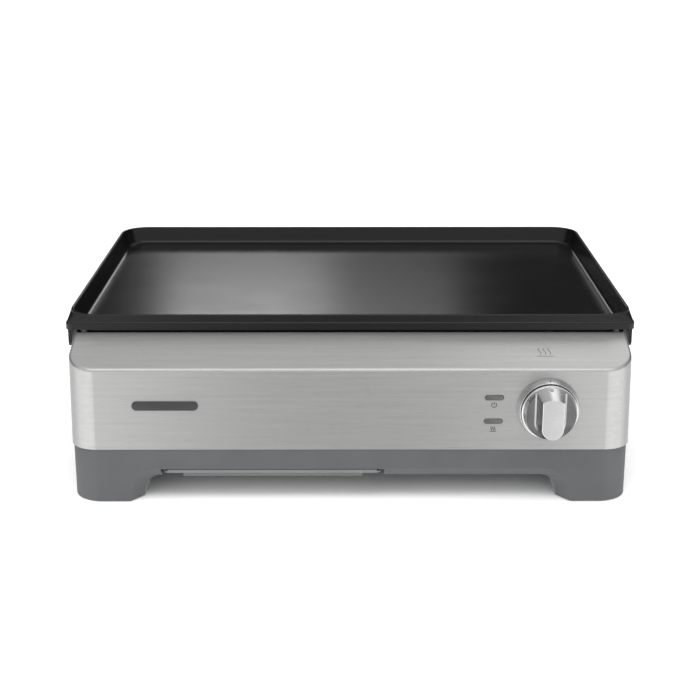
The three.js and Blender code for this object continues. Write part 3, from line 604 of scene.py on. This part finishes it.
BELLY = 19 * MM
LEG_SPAN = 58.1 * MM
LEG_LEAN = math.radians(9)
ARCH_CORNER = 13 * MM
BEVEL_DEPTH = 12.9 * MM
BEVEL_OFFSET = 10.2 * MM
BASE_CORNER = 25 * MM
BASE_WALL = 3.6 * MM
TONGUE_INSET = 1.6 * MM  # the tongue that stands up inside the steel
FLOOR_INSET = 16 * MM
FLOOR_TOP = 21.5 * MM
WALL_FOOT = 30 * MM
BAY_SIDE_GAP = 3 * MM
BAY_REAR_GAP = 4 * MM
BAY_ROOF = 28.5 * MM
HOOD_WALL = 2 * MM
HOOD_TOP = BAY_ROOF + 3 * MM
CHUTE_HOLE = 9.5 * MM
PAD_RECESS = 13.3 * MM
LEG_HOLLOW = (20 * MM, 14 * MM)  # half width and corner radius
SCREW_HOLE = 2.2 * MM


def arch_outline(half_span, offset):
    """The opening between two legs, wider than its throat by offset."""
    centre_z = BELLY - ARCH_CORNER
    centre_x = half_span - centre_z * math.tan(LEG_LEAN) - ARCH_CORNER / math.cos(LEG_LEAN)
    radius = ARCH_CORNER + offset
    low = -30 * MM
    foot = centre_x + radius / math.cos(LEG_LEAN) + (centre_z - low) * math.tan(LEG_LEAN)
    points = [(-foot, low), (foot, low)]
    steps = 12
    turn = math.pi / 2 - LEG_LEAN
    for centre, start in ((centre_x, LEG_LEAN), (-centre_x, math.pi / 2)):
        for i in range(steps + 1):
            angle = start + turn * i / steps
            points.append((centre + radius * math.cos(angle), centre_z + radius * math.sin(angle)))
    return points


def arch_cutter(name, half_span, low, high, axis, middle):
    """An arch cut through the base, which widens by a bevel towards both outer faces."""
    wide = BEVEL_OFFSET * (1 + PAST / BEVEL_DEPTH)
    stations = [
        (low - PAST, wide),
        (low + BEVEL_DEPTH, 0),
        (high - BEVEL_DEPTH, 0),
        (high + PAST, wide),
    ]
    rings = []
    for at, offset in stations:
        outline = [(p[0] + middle, p[1]) for p in arch_outline(half_span, offset)]
        rings.append(along(axis, outline, at))
    return lofted(name, rings)


def corner_places(node):
    """The middle in X and Y, and the top, of the four pieces whose names start with node."""
    places = []
    for corner in ("front_left", "front_right", "rear_left", "rear_right"):
        lo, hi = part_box(node + corner)
        places.append(((lo.x + hi.x) / 2, (lo.y + hi.y) / 2, hi.z))
    return places


def base_shell():
    half, front, rear = base_hi.x, base_lo.y, base_hi.y
    plan = rounded_ring(-half, half, front, rear, BASE_CORNER, 20)
    shell = prism("base_moulding", plan, base_lo.z, STEEL_LOW - 0.3 * MM)
    tongue = prism("tongue", steel_plan(TONGUE_INSET), WALL_FOOT + PAST, base_hi.z)
    combined(shell, tongue, "UNION")
    combined(shell, prism("tub", steel_plan(BASE_WALL), WALL_FOOT, base_hi.z + PAST))
    combined(shell, prism("tub_floor", steel_plan(FLOOR_INSET), FLOOR_TOP, WALL_FOOT + PAST))
    bay_half = (tray_hi.x - tray_lo.x) / 2 + BAY_SIDE_GAP
    bay_rear = tray_hi.y + BAY_REAR_GAP
    hood_half = bay_half + HOOD_WALL
    hood = (TRAY_X - hood_half, TRAY_X + hood_half, FRONT + BASE_WALL + 1 * MM)
    combined(shell, block("hood", *hood, bay_rear + HOOD_WALL, BELLY, HOOD_TOP), "UNION")
    combined(shell, arch_cutter("front_arch", half - LEG_SPAN, front, rear, "Y", 0))
    span = (rear - front) / 2 - LEG_SPAN
    combined(shell, arch_cutter("side_arch", span, -half, half, "X", MIDDLE_Y))
    bay = (TRAY_X - bay_half, TRAY_X + bay_half, FRONT - PAST, bay_rear)
    combined(shell, block("bay", *bay, -PAST, BAY_ROOF))
    combined(shell, prism("chute_hole", circle(CHUTE_HOLE, *DRAIN), BELLY, HOOD_TOP + PAST))
    for x, y, high in corner_places("foot_pad_"):
        combined(shell, prism("recess", circle(PAD_RECESS, x, y), -PAST, high + 0.3 * MM))
        reach, corner = LEG_HOLLOW
        hollow = rounded_ring(x - reach, x + reach, y - reach, y + reach, corner, 8)
        combined(shell, prism("hollow", hollow, 6 * MM, WALL_FOOT + PAST))
    for x, y, high in corner_places("base_screw_"):
        combined(shell, prism("screw_hole", circle(SCREW_HOLE, x, y, 24), 0, WALL_FOOT))
    softened(merged_flats(shell), 0.5 * MM, 2, 32)
    return finished(shell, "base", "grey_plastic", "base_shell")


base_shell()


# ---- griddle plate ----

PLATE_WALL = 3.0 * MM
RIM_CORNER = 26 * MM
WELL_DRAFT = 3.7 * MM
SKIRT_OUT = 0.8 * MM
SKIRT_WALL = 3.2 * MM
FLANGE_LOW = 134.4 * MM
FLANGE_HIGH = 140.7 * MM
FLANGE_CORNER = 5.3 * MM
COOK_HEIGHT = 131 * MM
PLATE_UNDER = 127 * MM
DRAIN_RADIUS = 6 * MM


def plate_ring(inset, radius, z):
    """A ring round the plate, inset from its rim's outer face."""
    x = plate_hi.x - SKIRT_OUT - inset
    y0 = plate_lo.y + SKIRT_OUT + inset
    y1 = plate_hi.y - SKIRT_OUT - inset
    return along("Z", rounded_ring(-x, x, y0, y1, radius, 14), z)


def plate_outside():
    """Rings from the flat underside out round the flange and up to the rim's shoulder."""
    body, low, high = 4.2 * MM, FLANGE_LOW, FLANGE_HIGH
    stations = [
        (body, 20 * MM, PLATE_UNDER),
        (body, 20 * MM, low),
        (-SKIRT_OUT + 0.6 * MM, 5 * MM, low),
        (-SKIRT_OUT + 0.2 * MM, 5.2 * MM, low + 0.2 * MM),
        (-SKIRT_OUT, FLANGE_CORNER, low + 0.6 * MM),
        (-SKIRT_OUT, FLANGE_CORNER, high - 1.5 * MM),
        (-SKIRT_OUT + 0.12 * MM, FLANGE_CORNER, high - 0.8 * MM),
        (-SKIRT_OUT + 0.4 * MM, 5.6 * MM, high - 0.25 * MM),
        (0.1 * MM, 6.5 * MM, high + 0.1 * MM),
    ]
    rings = [plate_ring(*s) for s in stations]
    shoulder = plate_ring(0.25 * MM, RIM_CORNER, plate_hi.z - 1.5 * MM)
    foot = rings[-1]
    for i in range(1, 7):
        rings.append([p.lerp(q, i / 6) for p, q in zip(foot, shoulder)])
    return rings


def plate_inside():
    """Rings over the rim, down the well's wall and round its foot."""
    roundness = 1.1 * MM
    high = plate_hi.z - roundness
    rings = []
    for turn, centre in ((-1, 0.25 * MM + roundness), (1, PLATE_WALL - roundness)):
        for i in range(6):
            angle = math.pi / 2 * (i / 5 if turn > 0 else 1 - i / 5)
            inset = centre + turn * roundness * math.sin(angle)
            rings.append(plate_ring(inset, RIM_CORNER - inset, high + roundness * math.cos(angle)))
    fillet = 3.4 * MM
    start = Vector((PLATE_WALL, high))
    corner = Vector((PLATE_WALL + WELL_DRAFT, COOK_HEIGHT))
    a = corner + (start - corner).normalized() * fillet
    b = corner + Vector((fillet, 0))
    for i in range(9):
        t = i / 8
        p = (1 - t) ** 2 * a + 2 * t * (1 - t) * corner + t * t * b
        rings.append(plate_ring(p.x, RIM_CORNER - p.x, p.y))
    return rings + [plate_ring(PLATE_WALL + 14 * MM, 9 * MM, COOK_HEIGHT)]


def plate_skirt():
    """The wall that hangs outside the steel at the sides and the rear, with round front ends."""
    low, x = plate_lo.z, plate_hi.x
    outline = rounded_ring(-x, x, plate_lo.y, plate_hi.y, FLANGE_CORNER, 14)
    skirt = prism("skirt", outline, low, FLANGE_LOW + 1 * MM)
    inner_x = x - SKIRT_WALL
    front, rear = plate_lo.y + SKIRT_WALL, plate_hi.y - SKIRT_WALL
    inner = rounded_ring(-inner_x, inner_x, front, rear, 3 * MM, 6)
    combined(skirt, prism("skirt_inside", inner, low - PAST, FLANGE_LOW + PAST))
    front, nose = plate_lo.y + 11.2 * MM, 5 * MM
    end = [(plate_lo.y - PAST, low - PAST), (front + nose, low - PAST)]
    for i in range(9):
        angle = math.pi / 2 * i / 8
        end.append((front + nose * (1 - math.sin(angle)), low + nose * (1 - math.cos(angle))))
    end += [(front, FLANGE_LOW), (plate_lo.y - PAST, FLANGE_LOW)]
    return combined(skirt, prism("skirt_front", end, -x - PAST, x + PAST, "X"))


def griddle_plate():
    plate = lofted("plate_casting", plate_outside() + plate_inside())
    combined(plate, plate_skirt(), "UNION")
    collar = prism("collar", circle(DRAIN_RADIUS + 2 * MM, *DRAIN), 116 * MM, PLATE_UNDER + 1 * MM)
    combined(plate, collar, "UNION")
    place = Matrix.Translation((*DRAIN, 0))
    combined(plate, turned("dish", [
        (0, COOK_HEIGHT + PAST),
        (22 * MM, COOK_HEIGHT + PAST),
        (19.5 * MM, COOK_HEIGHT + 0.05 * MM),
        (18 * MM, COOK_HEIGHT - 0.7 * MM),
        (14 * MM, COOK_HEIGHT - 1.2 * MM),
        (0, COOK_HEIGHT - 1.4 * MM),
    ], 64, place))
    combined(plate, turned("bore", [
        (0, 100 * MM),
        (DRAIN_RADIUS, 100 * MM),
        (DRAIN_RADIUS, COOK_HEIGHT - 2.8 * MM),
        (DRAIN_RADIUS + 1.6 * MM, COOK_HEIGHT - 1.2 * MM),
        (DRAIN_RADIUS + 1.6 * MM, COOK_HEIGHT + PAST),
        (0, COOK_HEIGHT + PAST),
    ], 48, place))
    smooth(plate, 32, weighted=True)
    return finished(plate, "plate", "non_stick", "griddle_plate")


griddle_plate()


# ---- knob ----

KNOB_RADIUS = 22.8 * MM
KNOB_REACH = 31 * MM
CONE_FOOT = (21.6 * MM, 12.6 * MM)  # radius and height
CONE_TOP = (17.0 * MM, 30.8 * MM)
SCOOP_FLOOR = 13.5 * MM
SCOOP_CURVE = 45.0  # how fast the scoops' floors rise away from the grip, per metre
SCOOP_CURVE_LOW = 200.0  # the same below the grip
GRIP_HALF = 8.7 * MM
GRIP_LOW = -16 * MM
BEZEL_FOOT = (25.4 * MM, 1.5 * MM)
BEZEL_TOP = (23.7 * MM, 8.4 * MM)
SETTINGS = (("0", 4.0, 0), ("200", 3.6, 50), ("250", 3.6, 98), ("400", 3.6, 262))  # text, mm, turn
FIGURE_SHARE = 0.7  # a figure's height as a share of the font's size
BOLDNESS = 0.022  # how far the strokes are widened, as a share of the font's size


def scoop_section(curve):
    """A scoop's section as (distance out from the grip, height), closed well above the knob."""
    above = 40 * MM
    flank = [
        (-0.9 * MM, above),
        (-0.9 * MM, KNOB_REACH + 0.3 * MM),
        (-0.5 * MM, KNOB_REACH - 0.05 * MM),
        (-0.15 * MM, KNOB_REACH - 0.25 * MM),
        (0, KNOB_REACH - 0.7 * MM),
        (2.1 * MM, SCOOP_FLOOR + 2.9 * MM),
        (2.6 * MM, SCOOP_FLOOR + 1.2 * MM),
    ]
    reach = 16
    rises = [(d * MM, SCOOP_FLOOR + curve * (d * MM) ** 2) for d in range(4, reach + 1)]
    floor = [(d, min(h, above - 1 * MM)) for d, h in rises]
    return flank + floor + [(reach * MM, above)]


def scoop_cutter():
    """The scoops on both sides of the grip as one sweep down, round the grip's end and up again."""
    centre = GRIP_LOW + GRIP_HALF
    top = 30 * MM
    levels = [top + (centre - top) * i / 12 for i in range(12)]
    path = [(-GRIP_HALF, z, -1, 0) for z in levels]
    for i in range(33):
        angle = math.pi * (1 + i / 32)
        out = (math.cos(angle), math.sin(angle))
        path.append((GRIP_HALF * out[0], centre + GRIP_HALF * out[1], *out))
    path += [(GRIP_HALF, z, 1, 0) for z in levels[::-1]]
    rings = []
    for x, z, out_x, out_z in path:
        curve = SCOOP_CURVE + (SCOOP_CURVE_LOW - SCOOP_CURVE) * out_z * out_z
        rings.append([(x + d * out_x, z + d * out_z, h) for d, h in scoop_section(curve)])
    return lofted("scoops", rings)



def control_knob():
    """A turned cone with the scoops cut out of it, whose walls get a darker chrome as painted
    shade.
    """
    socket, socket_top = 3.4 * MM, 26 * MM
    boss, boss_low, back = 7 * MM, 4 * MM, 9 * MM
    body = rounded_profile([
        (0, socket_top),
        (socket, socket_top),
        (socket, boss_low),
        (boss, boss_low),
        (boss, back),
        (22 * MM, back),
        (KNOB_RADIUS, 9.8 * MM),
        (KNOB_RADIUS, 11.2 * MM),
        (CONE_FOOT[0], 11.8 * MM),
        CONE_FOOT,
        (CONE_TOP[0] + 0.05 * MM, KNOB_REACH),
        (0, KNOB_REACH),
    ], 0.5 * MM)
    knob = turned("knob_casting", body, 180)
    knob.data.materials.append(FINISHES["satin_chrome"])
    cutter = scoop_cutter()
    cutter.data.materials.append(SCOOP_PAINTED_SHADE)
    combined(knob, cutter)
    edge = KNOB_REACH - 0.8 * MM  # above this the scoops' faces are the grip's rounded edge
    faces = knob.data.polygons
    # faces of the scoops below the grip's rounded edge get the darker chrome, painted shade
    painted_shade_faces = [int(face.material_index == 1 and face.center.z < edge) for face in faces]
    knob.data.transform(facing_front(KNOB_X, KNOB_Z))
    smooth(knob, 30, weighted=True)
    finished(knob, "knob", "satin_chrome", "control_knob")
    knob.data.materials.append(SCOOP_PAINTED_SHADE)
    knob.data.polygons.foreach_set("material_index", painted_shade_faces)
    return knob


control_knob()


def figures(text, height, thickness):
    """Solid figures in the built-in font, centred on the origin and facing up."""
    curve = bpy.data.curves.new("figures", "FONT")
    curve.body = text
    curve.align_x, curve.align_y = "CENTER", "CENTER"
    curve.size = height / FIGURE_SHARE
    curve.extrude = thickness / 2
    curve.offset = BOLDNESS * curve.size
    curve.resolution_u = 4
    obj = new_object("figures", curve)
    bpy.context.view_layer.update()
    graph = bpy.context.evaluated_depsgraph_get()
    mesh = bpy.data.meshes.new_from_object(obj.evaluated_get(graph))
    bpy.data.objects.remove(obj)
    bpy.data.curves.remove(curve)
    return mesh


def wrapped(mesh, foot, top, turn, rise):
    """Lays a flat mesh on a cone round the knob's axis. Its upper side points outwards, its middle
    is turned this many degrees clockwise from the top, and it is rise up the cone from its foot."""
    run = Vector(top) - Vector(foot)
    away = Vector((run.y, -run.x)).normalized()
    middle = foot[0] + run.normalized().x * rise
    for vertex in mesh.vertices:
        place = Vector(foot) + run.normalized() * (rise - vertex.co.y) + away * vertex.co.z
        angle = math.radians(turn) + vertex.co.x / middle
        vertex.co = (place.x * math.sin(angle), place.x * math.cos(angle), place.y)
    mesh.transform(facing_front(KNOB_X, KNOB_Z))
    return mesh


PRINT = 0.1 * MM  # thickness of printed marks, half of it sunk

for text, height, turn in SETTINGS:
    mesh = wrapped(figures(text, height * MM, PRINT), CONE_FOOT, CONE_TOP, -turn, 3.6 * MM)
    finished(new_object("setting_" + text, mesh), "knob", "dark_trim")
arrow = [(-0.9 * MM, 1.1 * MM), (0, -1.1 * MM), (0.9 * MM, 1.1 * MM)]
pointer = prism("pointer", arrow, -PRINT, PRINT)
wrapped(pointer.data, BEZEL_FOOT, BEZEL_TOP, 0, 4.2 * MM)
finished(pointer, "base", "dark_trim")


def knob_bezel():
    low = 0.3 * MM
    profile = rounded_profile([
        (6 * MM, low + 0.6 * MM),
        (6 * MM, low),
        (BEZEL_FOOT[0], low),
        BEZEL_FOOT,
        BEZEL_TOP,
        (23.0 * MM, BEZEL_TOP[1]),
        (23.6 * MM, low + 1.4 * MM),
        (6 * MM, low + 1.2 * MM),
        (6 * MM, low + 0.6 * MM),
    ], 0.45 * MM)
    bezel = turned("dial_ring", profile, 144, facing_front(KNOB_X, KNOB_Z))
    smooth(bezel, 35)
    return finished(bezel, "base", "satin_chrome", "knob_bezel")


knob_bezel()


# ---- lenses and badge ----


def pill(name, node, slot, rise):
    """A crowned pill with the outline of a CAD node on the front face."""
    lo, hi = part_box(node)
    half = (hi.z - lo.z) / 2
    rings = []
    for inset, y in ((0, hi.y), (0, lo.y + rise), (rise / 3, lo.y + rise / 3), (rise, lo.y)):
        ring = (lo.x + inset, hi.x - inset, lo.z + inset, hi.z - inset)
        rings.append(along("Y", rounded_ring(*ring, (half - inset) * 0.999, 10), y))
    obj = smooth(lofted(name, rings), 50)
    return finished(obj, "base", slot, node)


for level in ("upper", "lower"):
    pill("lens_" + level, "indicator_lens_" + level, "lens_grey", 0.35 * MM)
pill("badge", "badge_bar", "dark_trim", 0.3 * MM)


# ---- printed signs: power and warmth under the lenses, and a hot surface on the deck ----


def stroke(path, width):
    """The outline of a line of even width along a 2-D path."""
    left, right = [], []
    for i, point in enumerate(path):
        before, after = path[max(i - 1, 0)], path[min(i + 1, len(path) - 1)]
        side = Vector((before[1] - after[1], after[0] - before[0])).normalized() * width / 2
        left.append((point[0] + side.x, point[1] + side.y))
        right.append((point[0] - side.x, point[1] - side.y))
    return left + right[::-1]


def wave(x, height, sway):
    """A wavy upright path."""
    steps = 24
    turns = [i / steps for i in range(steps + 1)]
    return [(x + sway * math.sin(2 * math.pi * t), height * (t - 0.5)) for t in turns]


def power_sign(size):
    arc = [math.radians(125 + 290 * i / 28) for i in range(29)]
    ring = [(size / 2 * math.cos(t), size / 2 * math.sin(t)) for t in arc]
    return [ring, [(0, 0), (0, size * 0.62)]]


def heat_sign(size):
    waves = [wave(x * size * 0.36, size * 0.8, size * 0.09) for x in (-1, 0, 1)]
    return waves + [[(-size * 0.62, -size * 0.6), (size * 0.62, -size * 0.6)]]


def printed(name, paths, width, place):
    for i, path in enumerate(paths):
        mark = prism(f"{name}_{i}", stroke(path, width), -PRINT, PRINT / 2)
        mark.data.transform(place)
        finished(mark, "base", "dark_trim")


SIGN_DROP = 6.3 * MM  # from a lens's middle to the middle of the sign below it
SIGN_SIZE = 4.0 * MM

for level, paths in (("upper", power_sign(SIGN_SIZE)), ("lower", heat_sign(SIGN_SIZE))):
    lo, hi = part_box("indicator_lens_" + level)
    place = facing_front((lo.x + hi.x) / 2, (lo.z + hi.z) / 2 - SIGN_DROP)
    printed("sign_" + level, paths, 0.62 * MM, place)
DECK_SIGN = (158 * MM, FRONT + 23 * MM)
on_deck = Matrix.Translation((*DECK_SIGN, deck_height(DECK_SIGN[1])))
on_deck @= Matrix.Rotation(DECK_SLOPE, 4, "X")
printed("deck_sign", heat_sign(11 * MM), 0.45 * MM, on_deck)


# ---- nodes whose CAD shape is kept, with rounded edges ----

NODE_SLOTS = {part["node"]: part["material_slot"] for part in frame["record"]["subparts"]}

def refined(node, body, slot, width, angle=30):
    """A copy of a CAD node with its edges rounded, which stands for the node."""
    obj = new_object("fine_" + node, frame["nodes"][node].data.copy())
    softened(merged_flats(obj), width, 2, angle)
    return finished(obj, body, slot, node)


refined("drip_tray", "tray", "tray_plastic", 0.4 * MM)
for node in ("rear_panel", "cord_gland", "heat_reflector", "thermostat_body", "terminal_block"):
    refined(node, "base", NODE_SLOTS[node], 0.25 * MM)
for side in ("left", "right"):
    refined("plate_rail_" + side, "base", "folded_metal", 0.25 * MM)
    for end in ("front", "rear"):
        refined(f"foot_pad_{end}_{side}", "base", "black_rubber", 0.8 * MM)
bead =block("tray_bead", tray_lo.x + 3 * MM, tray_hi.x - 3 * MM, tray_lo.y, tray_lo.y + 2 * MM,
             tray_hi.z - 0.4 * MM, tray_hi.z + 1.4 * MM)
finished(softened(bead, 0.6 * MM), "tray", "tray_plastic")


# ---- the CAD nodes that keep their own mesh ----

for name, obj in frame["nodes"].items():
    runner = name.startswith("tray_runner")
    for held in obj.material_slots:
        # the tray's runners take the near-black painted-shade sheet
        held.material = RUNNER_PAINTED_SHADE if runner else FINISHES[NODE_SLOTS[name]]


# ---- floor, lights and camera ----


SURROUND = 2.2  # the brightest part of the surroundings
SKY = ((0.12, 0.004), (0.42, 0.02), (0.72, 0.34), (1.0, 0.45))  # sine of the elevation, share
FRONT_SKY = ((0.0, 0.42), (0.5, 0.42), (1.0, 0.45))  # the same, in front of the griddle
LEVEL = (  # turn away from the front, as a share of half a turn, and share of SURROUND
    (0.015, 0.27),
    (0.035, 0.33),
    (0.05, 0.56),
    (0.075, 0.92),
    (0.2, 1.0),
    (0.45, 0.95),
    (0.65, 0.55),
    (0.9, 0.4),
)


def shaded(tree, source, stops):
    """A grey ramp in the world's tree with the given (position, value) stops."""
    node = tree.nodes.new("ShaderNodeValToRGB")
    held = node.color_ramp.elements
    while len(held) < len(stops):
        held.new(0.5)
    for stop, (position, value) in zip(held, stops):
        stop.position, stop.color = position, colour(value)
    tree.links.new(source, node.inputs["Fac"])
    return node.outputs["Color"]


def math_step(tree, operation, *values):
    """A math node that takes sockets or numbers."""
    node = tree.nodes.new("ShaderNodeMath")
    node.operation = operation
    for value, socket in zip(values, node.inputs):
        if isinstance(value, bpy.types.NodeSocket):
            tree.links.new(value, socket)
        else:
            socket.default_value = value
    return node.outputs[0]


def blended(tree, factor, a, b):
    """Colour a where factor is 0 and b where it is 1."""
    node = tree.nodes.new("ShaderNodeMix")
    node.data_type = "RGBA"
    for output, socket in ((factor, "Factor"), (a, 6), (b, 7)):
        tree.links.new(output, node.inputs[socket])
    return node.outputs[2]


def surroundings():
    """A sky that is dark near the rear horizon, and below it grounds brighter to both sides."""
    world = bpy.data.worlds.new("studio")
    bpy.context.scene.world = world
    world.use_nodes = True
    tree = world.node_tree
    coords = tree.nodes.new("ShaderNodeTexCoord")
    split = tree.nodes.new("ShaderNodeSeparateXYZ")
    tree.links.new(coords.outputs["Generated"], split.inputs["Vector"])
    x, y, z = (split.outputs[axis] for axis in "XYZ")
    ahead = math_step(tree, "MULTIPLY", y, -1.0)
    turn = math_step(tree, "ABSOLUTE", math_step(tree, "ARCTAN2", x, ahead))
    in_front = shaded(tree, ahead, ((0.0, 0.0), (0.3, 1.0)))
    sky = blended(tree, in_front, shaded(tree, z, SKY), shaded(tree, z, FRONT_SKY))
    level = shaded(tree, math_step(tree, "DIVIDE", turn, math.pi), LEVEL)
    below = math_step(tree, "LESS_THAN", z, 0.0)
    background = tree.nodes["Background"]
    background.inputs["Strength"].default_value = SURROUND
    tree.links.new(blended(tree, below, sky, level), background.inputs["Color"])


def studio():
    """A wide pale floor. Metal doesn't mirror it, but the lower part of the surroundings."""
    bpy.context.scene.view_settings.view_transform = "Standard"
    surroundings()
    reach = 30.0
    floor = block("floor", -reach, reach, -reach, reach, -0.02, 0)
    floor.visible_glossy = False
    m = Nodes("pale_floor", IOR=1.3)
    speck = m.noise(30, 2)
    m.drive("Base Color", m.ramp(speck, 0.93, 0.95))
    m.drive("Roughness", m.ramp(speck, 0.85, 0.9))
    floor.data.materials.append(m.material)


def placed_light(light, place, target):
    obj = bpy.data.objects.new(light.name, light)
    obj.location = place
    obj.rotation_euler = (Vector(target) - Vector(place)).to_track_quat("-Z", "Y").to_euler()
    obj.visible_camera = False
    bpy.context.scene.collection.objects.link(obj)
    return obj


def soft_sun(strength, spread, place):
    """Lights the whole floor evenly, and isn't mirrored by the metal."""
    light = bpy.data.lights.new("sun", "SUN")
    light.energy = strength
    light.angle = math.radians(spread)
    placed_light(light, place, (0, 0, 0)).visible_glossy = False


def panel_light(name, place, target, size, radiance):
    light = bpy.data.lights.new(name, "AREA")
    light.shape = "RECTANGLE"
    light.size, light.size_y = size
    light.energy = radiance * math.pi * size[0] * size[1]
    placed_light(light, place, target)


def camera():
    lens = bpy.data.cameras.new("camera")
    lens.lens, lens.sensor_width = 73.1, 36
    obj = bpy.data.objects.new("camera", lens)
    obj.location = (-0.00248, FRONT - 1.0788, 0.4752)
    obj.rotation_euler = (math.radians(90 - 17.67), 0, math.radians(-0.116))
    bpy.context.scene.collection.objects.link(obj)
    bpy.context.scene.camera = obj


studio()
soft_sun(2.3, 95, (-0.2, -1.0, 2))
panel_light("back_left", (-0.31, 3.0, 1.25), (-0.07, 0, 0.13), (0.5, 0.5), 2.6)
panel_light("back_wide", (-0.13, 3.0, 1.25), (-0.05, 0, 0.13), (0.95, 0.5), 1.2)
panel_light("above_right", (0.75, 1.3, 1.9), (0.15, 0, 0.12), (0.9, 0.9), 1.2)
panel_light("front_top", (0, -1.1, 1.7), (0, -0.1, 0.1), (2.2, 0.7), 2.4)
camera()
